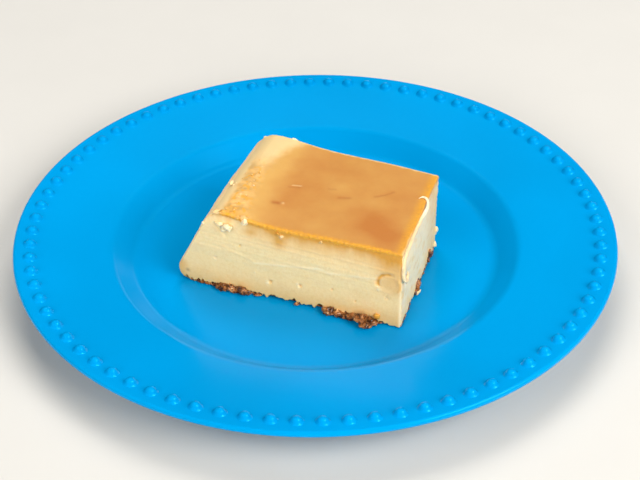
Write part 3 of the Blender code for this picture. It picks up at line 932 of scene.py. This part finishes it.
def skin_surface(u, v):
    """The skin's relief in millimetres, and its colour fields by name."""

    def grain(wide, deep, seed):
        return noise_at(u, v, 0.0, (wide, deep, 1.0), seed)

    flat = np.stack([u, v], axis=1)
    to_back = depth_at(u) - v
    band_at = band_edge(v) + 1.4 * grain(5.0, 5.0, 71) + 0.7 * grain(1.6, 1.6, 72)
    band = smooth_step((band_at - u) / 8.0 + 0.40)
    lumps = (0.75 * np.sqrt(grain(3.4, 4.6, 74) ** 2 + 0.012) + 0.30 * grain(1.7, 2.3, 75)
             + 0.08 * grain(0.8, 0.9, 76))
    crumbly = 0.42 * band * (0.25 + 0.75 * hill(u, band_at - 3.5, 3.2)) * (1.0 - 0.6 * rise(v, 50.0, 8.0))
    corner = mounds(u, v, [(-77.0, 0.0, 7.0, 5.0, 1.0)])
    relief = crumbly * (lumps * (0.55 + 0.6 * corner) + 0.15)
    relief += 0.05 * grain(9.0, 7.0, 77) * (1.0 - band) + 0.02 * grain(2.0, 2.0, 78)
    relief += np.exp(-v / 1.4) * 0.34 * line_noise(u, 1.1, 79)

    shade = np.zeros_like(u)
    for path, width, strength in CREASES:
        near = hill(distance_to_path(flat, path), 0.0, width)
        shade = np.maximum(shade, strength * near)
        relief -= 0.07 * near
    amber = 0.04 + 0.52 * rise(u, -70.0, 13.0) + mounds(u, v, AMBER_PATCHES)
    amber = np.clip(amber + 0.10 * grain(17.0, 9.0, 81), 0.0, 1.0)
    # gold where the caramel shows in its own thickness: along the cuts and in specks on the band
    front_wear = 2.4 + 1.1 * line_noise(u, 6.0, 82) + 0.6 * grain(1.5, 1.5, 83)
    rim = np.maximum(0.85 * fall(v, front_wear, 1.8), 0.75 * rise(u, -5.0, 4.0))
    rim *= 0.8 + 0.5 * grain(1.3, 1.0, 84)
    specks = rise(grain(1.9, 2.6, 85), 0.06, 0.30)
    rim = np.maximum(rim, 0.75 * specks * band * fall(v, 48.0, 14.0) * rise(u, -82.0, 4.0))
    rim = np.maximum(rim, np.minimum(1.25 * corner, 1.0) * fall(u, -66.0, 3.0) * (0.55 + 0.6 * specks))
    # cream where the skin is worn through or stops short, and a short dash painted as a highlight
    speck = np.exp(-((u + 58.3) ** 2 + (v - 18.0) ** 2) / 0.45)
    highlight_dash = 0.6 * hill(distance_to_path(flat, HIGHLIGHT_DASH), 0.0, 0.35)
    relief += 0.30 * speck + 0.15 * highlight_dash
    back_wear = 1.4 + 0.5 * line_noise(u, 3.0, 87)
    right_wear = -0.9 - 0.5 * noise_at(0.0, v, 0.0, (1.0, 4.0, 1.0), 86)
    pale = np.maximum.reduce([
        fall(u, -79.0 + 1.2 * grain(3.0, 4.0, 80), 2.6), fall(to_back, 2.0, 1.6) * fall(u, -64.0, 6.0),
        0.8 * fall(to_back, back_wear, 0.6), 0.95 * band * rise(v, 34.0, 16.0), 0.5 * speck, highlight_dash,
        0.55 * rise(u, right_wear, 0.9) * fall(v, 20.0, 8.0)])
    return relief, {"band": band, "shade": shade * (1.0 - band), "pale": pale, "amber": amber,
                    "rim": np.clip(rim, 0.0, 1.0)}


def make_caramel_skin(sizes):
    across_shares, back_shares = (crowded_shares(count, edge) for count, edge in zip(
        (sizes.columns_across, sizes.skin_columns_back), SKIN_EDGES))
    grid = np.arange(len(across_shares) * len(back_shares)).reshape(len(across_shares), -1)
    across = np.repeat(across_shares, len(back_shares))
    share_back = np.tile(back_shares, len(across_shares))
    u, z = below_top(across, np.zeros_like(across)).T
    v = depth_at(u) * share_back
    for away in (-u, v, depth_at(u) - v):
        flatness = np.clip(1.0 - (1.0 - np.clip(away / TOP_ROUNDING, 0.0, 1.0)) ** 2, 0.0, 1.0)
        z = z - TOP_ROUNDING * (1.0 - np.sqrt(flatness))

    border = np.concatenate([grid[:-1, 0], grid[-1, :-1], grid[:0:-1, -1], grid[0, :0:-1]])
    edge_u, edge_across, edge_back = u[border], across[border], share_back[border]
    along = edge_u + v[border]
    ragged = 1.05 + 0.8 * line_noise(along, 3.4, 61) + 0.7 * line_noise(along, 1.0, 62)
    parts = [(u, v, z)]
    for share in (0.55, 0.8, 1.0, 1.35):
        depth = caramel_depth(edge_across) * share * np.where(share > 0.7, ragged, 1.0)
        wall_u, wall_z = below_top(edge_across, depth).T
        out = 0.04 if share < 1.2 else -0.35       # the lower lip tucks in behind the cut
        back_way = np.select([edge_back < 0.01, edge_back > 0.99], [-out, out])
        parts.append((wall_u + np.where(edge_u > -0.01, out, 0.0),
                      depth_at(wall_u) * edge_back + back_way, wall_z))
    parts.append(([INNER_TOP[0]], [INNER_TOP[1]], [SLICE_HEIGHT - 3.6]))
    all_u, all_v, all_z = (np.concatenate(part) for part in zip(*parts))

    first, columns, walls = len(u), len(border), len(parts) - 2
    last = first + (walls - 1) * columns
    faces = np.stack([grid[:-1, :-1], grid[1:, :-1], grid[1:, 1:], grid[:-1, 1:]], axis=-1).reshape(-1, 4)
    beside = np.roll(np.arange(columns), -1)
    upper = np.column_stack([border, border[beside], first + beside, first + np.arange(columns)])
    faces = faces.tolist() + upper.tolist() + tube_faces(walls, columns, first)
    faces += fan_faces(range(last, last + columns), last + columns)
    item = make_object("caramel_skin", in_frame(all_u, all_v, all_z), faces,
                       caramel_skin(sizes.golden, sizes.deep, sizes.yellow, sizes.rim_gold), SHARP_FOOD)

    relief, fields = skin_surface(all_u, all_v)
    fields["rim"][first:] = 1.0
    for field, share in ((fields["band"], 0.6), (fields["pale"], 0.5), (relief, 0.6)):
        field[first:] *= share
    relief[last:] = 0.0
    raise_surface(item, relief)
    write_attributes(item, **fields)
    return finish_piece(item, ["caramel_layer"])


# Crust, curl and crumbs ----------------------------------------------------------------------------

def ball_points(subdivisions):
    builder = bmesh.new()
    bmesh.ops.create_icosphere(builder, subdivisions=subdivisions, radius=1.0)
    points = np.array([tuple(vertex.co) for vertex in builder.verts])
    faces = [tuple(vertex.index for vertex in face.verts) for face in builder.faces]
    builder.free()
    return points, faces


def lumpy_ball(radii, roughness, seed, subdivisions=4):
    """A rough, torn lump in the slice's own axes, about its own centre, with a few flat breaks."""
    points, faces = ball_points(subdivisions)
    draw = np.random.default_rng(seed)
    breaks = draw.normal(size=(9, 3))
    breaks /= np.linalg.norm(breaks, axis=1)[:, None]
    reach = draw.uniform(0.62, 0.95, size=9)
    toward = np.maximum(points @ breaks.T, 0.05)
    radius = np.minimum(np.min(reach / toward, axis=1), 1.15)
    small = soft_noise(points * 2.6 + seed, seed + 7)
    fine = soft_noise(points * 6.0 + seed, seed + 9)
    radius *= 1.0 + roughness * (0.8 * small + 0.5 * fine)
    return points * radius[:, None] * np.array(radii), faces


def join_lumps(name, lumps, material, sharp_degrees=None):
    """One object from (points, faces) lumps placed in the slice's own axes."""
    points, faces, offset = [], [], 0
    for lump_points, lump_faces in lumps:
        u, v, z = lump_points.T
        points.append(in_frame(u, v, np.maximum(z, 0.0)))
        faces += [tuple(index + offset for index in face) for face in lump_faces]
        offset += len(lump_points)
    return make_object(name, np.vstack(points), faces, material, sharp_degrees)


CRUST_LUMPS = [
    # u, v, z, half width, half depth, half height
    (-94.5, 0.8, 0.8, 1.5, 0.9, 0.6), (-91.5, 0.4, 0.4, 1.8, 0.9, 0.4), (-88.0, 0.2, 0.5, 2.0, 0.9, 0.55),
    (-84.5, -0.1, 0.6, 2.2, 1.0, 0.75), (-80.6, -0.9, 1.4, 2.7, 2.0, 1.5),
    (-77.3, -1.0, 1.4, 2.4, 2.1, 1.6), (-74.5, -0.7, 0.9, 2.0, 1.6, 1.0), (-71.9, -1.0, 1.7, 2.4, 2.0, 1.7),
    (-69.0, -0.4, 0.9, 1.8, 1.3, 0.9), (-65.0, 0.0, 0.6, 1.6, 0.9, 0.6),
    (-46.5, -0.1, 0.7, 1.4, 0.9, 0.6), (-31.6, -1.2, 1.7, 2.6, 2.0, 1.7), (-28.0, -1.3, 1.2, 2.6, 1.8, 1.2),
    (-24.2, -1.3, 1.1, 2.8, 1.8, 1.1), (-20.4, -1.6, 1.4, 2.6, 2.1, 1.4), (-16.9, -2.4, 2.4, 3.1, 2.9, 2.5),
    (-13.4, -2.8, 1.8, 2.9, 2.7, 1.9), (-15.0, -4.0, 1.2, 2.6, 2.1, 1.2), (-11.4, -1.6, 1.1, 1.9, 1.6, 1.1),
    (0.4, 27.0, 2.4, 1.1, 2.4, 2.4), (0.4, 24.2, 1.2, 1.0, 1.6, 1.2), (0.4, 48.3, 4.4, 1.0, 1.5, 2.1),
    (0.2, 46.4, 2.2, 0.8, 1.4, 1.2), (0.1, 53.0, 0.8, 0.8, 2.0, 0.6),
]


CRUST_STEP = 0.45
CRUST_FLOOR = 0.02                             # lowest point of the crust above the slice's base


def make_browned_crust(sizes):
    lumps = []
    for index, (u, v, z, wide, deep, high) in enumerate(CRUST_LUMPS):
        points, faces = lumpy_ball((wide, deep, high), 0.42, 5 + index)
        points = points + np.array((u, v, z))
        points[:, 2] = np.maximum(points[:, 2], CRUST_FLOOR)
        lumps.append((points, faces))
    lumps.append(crust_strip())
    item = join_lumps("browned_crust", lumps, browned_milk_skin(sizes.crust_light, sizes.crust_dark))
    return finish_piece(item)


def crust_strip():
    """A ragged browned edge that runs round the base, in and out from under the cuts."""
    left = BASE_LINE.at(np.zeros(1))[0, 0]
    corners = [(left, 0.0), (0.0, 0.0), (0.0, DEPTH_RIGHT), (left, depth_at(left)), (left, 0.0)]
    path = Line(corners)
    count = int(path.lengths[-1] / CRUST_STEP)
    shares = np.arange(count) / count
    middle = path.at(shares)
    near = 0.0004                                  # share of the path that gives its direction
    ahead = path.at((shares + near) % 1.0) - path.at((shares - near) % 1.0)
    ahead /= np.maximum(np.linalg.norm(ahead, axis=1), 1e-6)[:, None]
    outward = np.stack([ahead[:, 1], -ahead[:, 0]], axis=1)
    along = shares * path.lengths[-1]
    reach = 0.1 + 1.3 * line_noise(along, 7.0, 91) + 0.5 * line_noise(along, 1.6, 92)
    high = 0.9 + 0.5 * line_noise(along, 4.0, 93)
    u = middle[:, 0]
    on_front = middle[:, 1] < 0.5
    strip = rise(u, -33.5, 1.5) * fall(u, -10.5, 2.0) * on_front
    clear = rise(u, -66.0, 3.0) * fall(u, -34.0, 1.0) * on_front
    corner = rise(u, -9.0, 3.0) * on_front
    reach = np.clip(reach, -1.2, 1.0) + 1.4 * strip
    reach = reach * (1.0 - clear) - 1.6 * clear
    reach = reach * (1.0 - corner) - 1.6 * corner
    high = np.maximum(high, 0.35) + 0.7 * strip
    points, inner, sides = [], 3.0, 13
    for turn in even_turns(sides):
        out = (reach + inner) / 2.0 * math.cos(turn) + (reach - inner) / 2.0
        out += 0.25 * noise_at(along, turn * 3.0, 0.0, (0.9, 1.0, 1.0), 95)
        up = high * (0.5 + 0.5 * math.sin(turn))
        up *= 1.0 + 0.3 * noise_at(along, turn * 2.0, 0.0, (1.1, 1.0, 1.0), 94)
        points.append(np.column_stack([middle + outward * out[:, None], np.maximum(up, CRUST_FLOOR)]))
    grid = np.stack(points, axis=1).reshape(-1, 3)
    return grid, sleeve_faces(count, sides, True)


CURL_PATH = [(-3.6, 40.2, 38.7), (-2.2, 41.2, 39.0), (-0.6, 41.1, 38.9), (0.6, 39.6, 38.2), (1.1, 36.5, 37.4),
             (0.8, 33.0, 36.8), (0.45, 29.0, 36.7), (0.2, 24.0, 36.5), (0.1, 16.0, 36.2), (0.1, 8.0, 35.8),
             (0.2, 3.0, 34.6), (0.4, 1.2, 31.9), (0.4, 0.7, 29.4), (0.6, 0.9, 27.0), (0.9, 1.6, 24.8),
             (1.2, 3.0, 23.9), (1.4, 4.5, 24.8), (1.2, 5.1, 26.6)]


CURL_THICKNESS, CURL_WIDTH = 0.74, 1.15          # halves, before the taper
CURL_LENGTH = 90.0


def curve_through(points, count):
    """Even places on a smooth curve through the points."""
    points = np.array(points)
    padded = np.vstack([2 * points[0] - points[1], points, 2 * points[-1] - points[-2]])
    found = []
    for index in range(1, len(padded) - 2):
        a, b, c, d = padded[index - 1:index + 3]
        for t in np.linspace(0.0, 1.0, 12, endpoint=False):
            found.append(0.5 * (2 * b + (c - a) * t + (2 * a - 5 * b + 4 * c - d) * t ** 2
                                + (3 * b - a - 3 * c + d) * t ** 3))
    found.append(points[-1])
    return Line(found).at(np.linspace(0.0, 1.0, count))


def make_skin_curl(sizes):
    """A thin shaving of custard that the knife pushed out along the right edge."""
    count, sides = 260, 14
    spine = curve_through(CURL_PATH, count)
    way = np.gradient(spine, axis=0)
    way /= np.linalg.norm(way, axis=1)[:, None]
    outward = np.tile(np.array((1.0, 0.0, 0.55)), (count, 1))
    outward -= np.sum(outward * way, axis=1)[:, None] * way
    outward /= np.maximum(np.linalg.norm(outward, axis=1), 1e-6)[:, None]
    other = np.cross(way, outward)
    share = np.linspace(0.0, 1.0, count)
    taper = np.minimum(rise(share, 0.0, 0.07), fall(share, 1.0, 0.05))
    taper = (0.15 + 0.85 * taper) * (0.72 + 0.42 * rise(share, 0.12, 0.5))
    length = share * CURL_LENGTH
    rings = []
    for turn in even_turns(sides):
        wobble = 1.0
        for strength, reach, lump, seed in ((0.30, 1.2, 5.0, 101), (0.16, 2.0, 1.6, 103)):
            wobble = wobble + strength * noise_at(length, reach * math.cos(turn), reach * math.sin(turn),
                                                  (lump, 1.0, 1.0), seed)
        rings.append(spine + outward * (CURL_THICKNESS * taper * wobble * math.cos(turn))[:, None]
                     + other * (CURL_WIDTH * taper * wobble * math.sin(turn))[:, None])
    points = np.stack(rings, axis=1).reshape(-1, 3)
    points = np.vstack([points, spine[:1], spine[-1:]])
    faces = sleeve_faces(count, sides, False) + fan_faces(range(sides), count * sides)
    faces += fan_faces(range((count - 1) * sides, count * sides), count * sides + 1)
    item = make_object("skin_curl", in_frame(*points.T), faces, material_of("custard_body"))
    low = fall(points[:, 1], 33.0, 8.0)
    write_attributes(item, soak=0.10 + 0.18 * low + 0.16 * noise_at(*points.T, 3.0, 102),
                     pale=0.62 - 0.35 * low, baked=0.0)
    return finish_piece(item)


BIG_CRUMBS = [
    # u, v, z, half width, half depth, half height, paleness
    (-77.2, -0.9, 33.9, 1.9, 1.6, 1.9, 1.0), (-78.6, -0.9, 32.9, 1.6, 1.4, 1.8, 1.0),
    (-80.4, -0.5, 34.6, 1.2, 1.0, 1.0, 0.7), (-82.0, -0.3, 34.9, 0.9, 0.7, 0.8, 0.5),
    (-69.2, -0.5, 38.0, 1.5, 1.5, 1.6, 0.8), (-70.2, 0.9, 38.9, 1.6, 1.3, 1.2, 0.2),
    (-53.0, -0.2, 34.6, 0.9, 0.6, 0.8, 0.4), (-54.9, -0.1, 35.6, 0.8, 0.5, 0.7, 0.0),
    (-35.4, 0.0, 36.0, 0.7, 0.5, 0.7, 0.2), (-88.5, 0.0, 33.0, 0.7, 0.6, 0.6, 0.9),
    (-82.6, 1.4, 39.0, 1.8, 1.6, 0.8, 0.30), (-79.4, 1.2, 39.6, 1.9, 1.6, 0.8, 0.05),
    (-76.0, 1.4, 39.5, 1.7, 1.6, 0.8, 0.05), (-72.8, 0.9, 39.2, 1.5, 1.2, 0.7, 0.10),
    (-84.2, 23.1, 39.5, 1.2, 1.6, 0.6, 0.5), (-75.0, 32.1, 39.5, 1.1, 1.7, 0.55, 0.20),
    (-77.4, 8.1, 39.6, 1.5, 1.7, 0.65, 0.15), (-76.8, 16.0, 39.6, 1.2, 1.7, 0.6, 0.25),
    (-79.2, 4.6, 39.7, 1.3, 1.2, 0.6, 0.10), (-75.3, 5.3, 39.5, 1.1, 1.2, 0.6, 0.05),
    (-75.9, 24.5, 39.5, 1.2, 1.5, 0.6, 0.15), (-74.8, 39.5, 39.4, 1.1, 1.8, 0.5, 0.30),
    (-83.0, 66.2, 38.6, 1.2, 0.8, 0.6, 0.7), (-80.6, 66.3, 39.1, 1.4, 0.8, 0.8, 0.7),
    (-78.0, 66.2, 38.9, 1.1, 0.7, 0.7, 0.8), (-75.0, 66.0, 38.9, 1.5, 0.8, 0.6, 0.7),
    (-71.9, 65.8, 38.5, 1.2, 0.7, 0.7, 0.7), (-69.4, 65.5, 38.4, 1.6, 0.9, 0.9, 0.9),
    (-0.2, 60.0, 8.6, 1.3, 1.3, 2.3, 0.8), (-0.3, 59.2, 2.2, 1.3, 1.4, 1.8, 0.7),
    (1.0, 24.8, 0.9, 1.2, 1.8, 0.9, 0.6), (-10.3, -0.4, 4.0, 1.2, 0.8, 1.3, 0.0),
]


def make_custard_crumbs(sizes):
    """The larger torn crumbs: on the front and right cuts, the top's edges and the crumbly band."""
    lumps, soak, pale = [], [], []
    for index, (u, v, z, wide, deep, high, lightness) in enumerate(BIG_CRUMBS):
        points, faces = lumpy_ball((wide, deep, high), 0.38, 31 + index, 3)
        lumps.append((points + np.array((u, v, z)), faces))
        pale.append(np.full(len(points), lightness * 0.35))
        soak.append(np.full(len(points), max(1.0 - 1.6 * lightness, 0.08)))
    item = join_lumps("custard_crumbs", lumps, material_of("custard_body"))
    write_attributes(item, soak=np.concatenate(soak), pale=np.concatenate(pale), baked=0.0)
    return finish_piece(item)


SMALLEST_CRUMB = 0.0002                         # metres, like the largest
CRUMB_SEED = 4
CRUMB_LIFT = 0.35


def crumb_tree(material):
    """Crumbs scattered on a patch: rough little balls, turned and sized at random from a fixed seed."""
    tree, sizes = new_tree("crumb scatter", [
        ("Geometry", "Geometry"), ("Per square metre", "Float"), ("Smallest", "Float"), ("Largest", "Float"),
        ("Seed", "Int")])
    node, seed = partial(add_node, tree), (sizes, "Seed")
    spots = node("GeometryNodeDistributePointsOnFaces", links={
        "Mesh": (sizes, "Geometry"), "Density": (sizes, "Per square metre"), "Seed": seed})
    ball = node("GeometryNodeMeshIcoSphere", {"Radius": 1.0, "Subdivisions": 2})
    rough = node("ShaderNodeTexNoise", {"Scale": 1.4, "Detail": 1.0})
    place = node("GeometryNodeInputPosition")
    moved = node("ShaderNodeVectorMath", {"operation": "SCALE"}, {
        0: (place, "Position"), "Scale": calculate(tree, "MULTIPLY_ADD", (rough, "Fac"), 1.1, 0.45)})
    crumb = node("GeometryNodeSetPosition", links={"Geometry": (ball, "Mesh"), "Position": (moved, "Vector")})
    turn = node("FunctionNodeRandomValue", {"data_type": "FLOAT_VECTOR", 1: (6.28, 6.28, 6.28)},
                {"Seed": seed})
    size = node("FunctionNodeRandomValue", {"data_type": "FLOAT"},
                {2: (sizes, "Smallest"), 3: (sizes, "Largest"), "Seed": seed})
    finish_tree(tree, material, {"Points": (spots, "Points"), "Instance": (crumb, "Geometry"),
                                 "Rotation": (turn, 0), "Scale": (size, 1)})
    return tree


def crumb_patch():
    """The strip of the top where loose crumbs lie, as a mesh to scatter on."""
    rows, columns = 24, 6
    depths = depth_at(-75.0) * np.linspace(0.01, 0.66, rows)
    widths = np.linspace(1.0, 11.0, columns)       # millimetres past the band's edge
    v, past = (part.ravel() for part in np.meshgrid(depths, widths, indexing="ij"))
    u = band_edge(v) - past
    z = np.interp(u, *TOP_LINE.points.T) + CRUMB_LIFT
    mesh = bpy.data.meshes.new("crumb patch")
    mesh.from_pydata(in_frame(u, v, z) * MM, [], tube_faces(rows, columns, 0, False))
    return mesh


def make_loose_crumbs(sizes):
    item = grow_from_tree("loose_crumbs", crumb_tree(material_of("custard_body")), {
        "Per square metre": sizes.crumb_density, "Smallest": SMALLEST_CRUMB, "Largest": sizes.crumb_size,
        "Seed": CRUMB_SEED}, crumb_patch())
    tint = noise_at(*(read_points(item.data) / MM).T, 3.0, 111)
    write_attributes(item, soak=0.55 + 0.5 * tint, pale=np.clip(-0.6 * tint, 0.0, 0.3), baked=0.0)
    return finish_piece(item)


# Stage ---------------------------------------------------------------------------------------------

CAMERA_LENS, CAMERA_DISTANCE = 80.165, 0.62402
CAMERA_TARGET = (0.0021, -0.01269)
CAMERA_ELEVATION, CAMERA_ROLL = 0.6365, -0.0089


def aim(item, place, target):
    item.location = place
    item.rotation_mode = "QUATERNION"
    item.rotation_quaternion = (Vector(target) - Vector(place)).to_track_quat("-Z", "Y")


def add_area_light(name, azimuth, elevation, distance, width, height, power, gloss_only=False):
    """A soft lamp aimed at the slice, which gloss does not show, or which nothing but gloss shows."""
    light = bpy.data.lights.new(name, "AREA")
    light.shape = "RECTANGLE"
    light.size = width
    light.size_y = height
    light.energy = power
    item = add_object(name, light)
    azimuth, elevation = math.radians(azimuth), math.radians(elevation)
    place = (distance * math.cos(elevation) * math.cos(azimuth),
             distance * math.cos(elevation) * math.sin(azimuth), distance * math.sin(elevation))
    aim(item, place, (0.0, 0.0, 0.02))
    item.visible_camera = False
    item.visible_glossy = gloss_only
    item.visible_diffuse = item.visible_transmission = not gloss_only


def make_stage(sizes):
    scene = bpy.context.scene
    half = 4.0
    mesh = bpy.data.meshes.new("floor")
    mesh.from_pydata([(-half, -half, 0.0), (half, -half, 0.0), (half, half, 0.0), (-half, half, 0.0)],
                     [], [(0, 1, 2, 3)])
    mesh.materials.append(painted_floor(sizes.floor_colour))
    add_object("floor", mesh)

    world = bpy.data.worlds.new("soft room light")
    world.use_nodes = True
    sky = world.node_tree.nodes["Background"]
    sky.inputs["Color"].default_value = (*sizes.room_colour, 1.0)
    sky.inputs["Strength"].default_value = sizes.room_strength
    scene.world = world
    world.cycles_visibility.glossy = False

    add_area_light("window", -40.0, 36.0, 1.7, 1.2, 0.9, sizes.key_power)
    add_area_light("back_window", 90.0, 60.0, 1.7, 1.2, 0.9, sizes.back_power)
    add_area_light("left_window", -140.0, 36.0, 1.7, 1.2, 0.9, sizes.left_power)
    add_area_light("front_window", -100.0, 15.0, 1.8, 1.4, 0.7, sizes.fill_power)
    add_area_light("glint", -26.0, 50.0, 1.6, 0.80, 0.45, sizes.glint_power, True)
    add_area_light("shine", 77.0, 10.0, 1.6, 0.5, 0.22, sizes.shine_power, True)

    camera_data = bpy.data.cameras.new("camera")
    camera_data.sensor_width = 36.0
    camera_data.lens = CAMERA_LENS
    camera_data.clip_end = 20.0
    camera = add_object("camera", camera_data)
    target = Vector((*CAMERA_TARGET, PLATE_HEIGHT * MM))
    way = Vector((0.0, -math.cos(CAMERA_ELEVATION), math.sin(CAMERA_ELEVATION)))
    aim(camera, target + way * CAMERA_DISTANCE, target)
    camera.rotation_quaternion @= Quaternion((0.0, 0.0, 1.0), CAMERA_ROLL)
    scene.camera = camera
    scene.view_settings.view_transform = "Standard"


# Add-on --------------------------------------------------------------------------------------------

def colour_property(name, description, code):
    return FloatVectorProperty(name=name, description=description, subtype="COLOR", size=3, min=0.0, max=1.0,
                               default=linear(code))


def length_property(name, description, default):
    return FloatProperty(name=name, description=description, unit="LENGTH", default=default)


def power_property(name, description, default):
    return FloatProperty(name=name, description="Power in watts of " + description, default=default)


def count_property(name, description, default):
    return IntProperty(name=name, description=description, default=default)


class FLAN_PG_plate(bpy.types.PropertyGroup):
    plate_radius: length_property("Plate radius", "From the middle to the lip", PLATE_RADIUS * MM)
    plate_columns: count_property("Columns", "Columns of faces round the plate", 320)
    bead_count: count_property("Beads", "Beads round the rim", 80)
    bead_radius: length_property("Bead radius", "Half a bead's width", 0.0025)
    bead_rise: length_property("Bead rise", "Height of a bead above the rim", 0.0025)
    plate_colour: colour_property("Plate colour", "Colour of the moulded plastic", "0094D4")


class FLAN_PG_slice(bpy.types.PropertyGroup):
    columns_across: count_property("Columns across", "Columns of faces along the front cut", 250)
    columns_back: count_property("Columns back", "Columns of faces along the right cut", 150)
    skin_columns_back: count_property("Skin columns", "Columns of the skin from front to back", 170)
    rows_up: count_property("Rows up", "Rows of faces from base to top", 112)
    crumb_density: FloatProperty(name="Crumb density", description="Loose crumbs per square metre",
                                 default=45000.0)
    crumb_size: length_property("Crumb size", "Radius of the largest loose crumb", 0.00045)
    cream: colour_property("Cream", "Colour of the cut custard", "FEDCA0")
    # stain and brown are also laid on as painted shade: in hollows, under the hem and on the right cut
    stain: colour_property("Stain", "Colour of custard soaked with caramel", "DC9A3C")
    brown: colour_property("Brown", "Colour of the torn, baked base", "8A5A2C")
    golden: colour_property("Golden", "Lighter tone of the caramel skin", "D6A55B")
    deep: colour_property("Deep amber", "Darker tone of the caramel skin", "BB773B")
    rim_gold: colour_property("Rim gold", "Caramel seen in its own thickness along the cuts", "E2A02E")
    yellow: colour_property("Yellow", "Crumbly custard beside the caramel", "DBAC68")
    crust_light: colour_property("Crust, light", "Lighter tone of the browned base", "B5713A")
    crust_dark: colour_property("Crust, dark", "Darker tone of the browned base", "3A1D0E")


class FLAN_PG_stage(bpy.types.PropertyGroup):
    key_power: power_property("Window power", "the main light", 29.3)
    back_power: power_property("Back window power", "the light behind", 20.0)
    left_power: power_property("Left window power", "the light at the left", 12.0)
    fill_power: power_property("Front window power", "the low front light", 12.8)
    glint_power: power_property("Glint power", "the lamp seen only in gloss", 36.0)
    shine_power: power_property("Shine power", "the low lamp seen only in gloss", 0.4)
    room_strength: FloatProperty(name="Room light", description="Strength of the light from all round",
                                 default=0.03)
    room_colour: colour_property("Room colour", "Colour of the light from all round", "F7F9FF")
    floor_colour: colour_property("Floor colour", "Colour of the painted board", "D6D2CA")


class MakeOperator(bpy.types.Operator):
    """Base of the makers: runs one function with its group of sizes"""
    bl_options = {"REGISTER", "UNDO"}
    group = ""
    makers = ()

    def execute(self, context):
        for maker in self.makers:
            maker(getattr(context.scene, self.group))
        return {"FINISHED"}


class FLAN_OT_plate(MakeOperator):
    """Make the plate's body"""
    bl_idname = "flan.plate"
    bl_label = "Plate"
    group = "flan_plate"
    makers = (make_plate_body,)


class FLAN_OT_beads(MakeOperator):
    """Make the beads round the rim"""
    bl_idname = "flan.beads"
    bl_label = "Rim beads"
    group = "flan_plate"
    makers = (make_rim_beads,)


class FLAN_OT_custard(MakeOperator):
    """Make the block of custard"""
    bl_idname = "flan.custard"
    bl_label = "Custard"
    group = "flan_slice"
    makers = (make_custard_body,)


class FLAN_OT_caramel(MakeOperator):
    """Make the caramel-soaked skin on top"""
    bl_idname = "flan.caramel"
    bl_label = "Caramel skin"
    group = "flan_slice"
    makers = (make_caramel_skin,)


class FLAN_OT_crust(MakeOperator):
    """Make the browned crust round the base"""
    bl_idname = "flan.crust"
    bl_label = "Browned crust"
    group = "flan_slice"
    makers = (make_browned_crust,)


class FLAN_OT_crumbs(MakeOperator):
    """Make the curl along the right edge and the crumbs"""
    bl_idname = "flan.crumbs"
    bl_label = "Curl and crumbs"
    group = "flan_slice"
    makers = (make_skin_curl, make_custard_crumbs, make_loose_crumbs)


class FLAN_OT_stage(MakeOperator):
    """Make the floor, the lights and the camera"""
    bl_idname = "flan.stage"
    bl_label = "Stage"
    group = "flan_stage"
    makers = (make_stage,)


GROUPS = {"flan_plate": FLAN_PG_plate, "flan_slice": FLAN_PG_slice, "flan_stage": FLAN_PG_stage}
MAKERS = (FLAN_OT_plate, FLAN_OT_beads, FLAN_OT_custard, FLAN_OT_caramel, FLAN_OT_crust, FLAN_OT_crumbs,
          FLAN_OT_stage)


class FLAN_PT_panel(bpy.types.Panel):
    """The makers and their sizes, in the sidebar"""
    bl_idname = "FLAN_PT_panel"
    bl_label = "Creme caramel flan"
    bl_space_type = "VIEW_3D"
    bl_region_type = "UI"
    bl_category = "Flan"

    def draw(self, context):
        for name, kind in GROUPS.items():
            box = self.layout.box()
            for key in kind.__annotations__:
                box.prop(getattr(context.scene, name), key)
            for maker in MAKERS:
                if maker.group == name:
                    box.operator(maker.bl_idname)


CLASSES = (*GROUPS.values(), *MAKERS, FLAN_PT_panel)


def register():
    for kind in CLASSES:
        bpy.utils.register_class(kind)
    for name, kind in GROUPS.items():
        setattr(bpy.types.Scene, name, PointerProperty(type=kind))


def unregister():
    for name in GROUPS:
        delattr(bpy.types.Scene, name)
    for kind in reversed(CLASSES):
        bpy.utils.unregister_class(kind)


def main():
    register()
    for maker in MAKERS:
        family, name = maker.bl_idname.split(".")
        getattr(getattr(bpy.ops, family), name)()


if __name__ == "__main__":
    main()
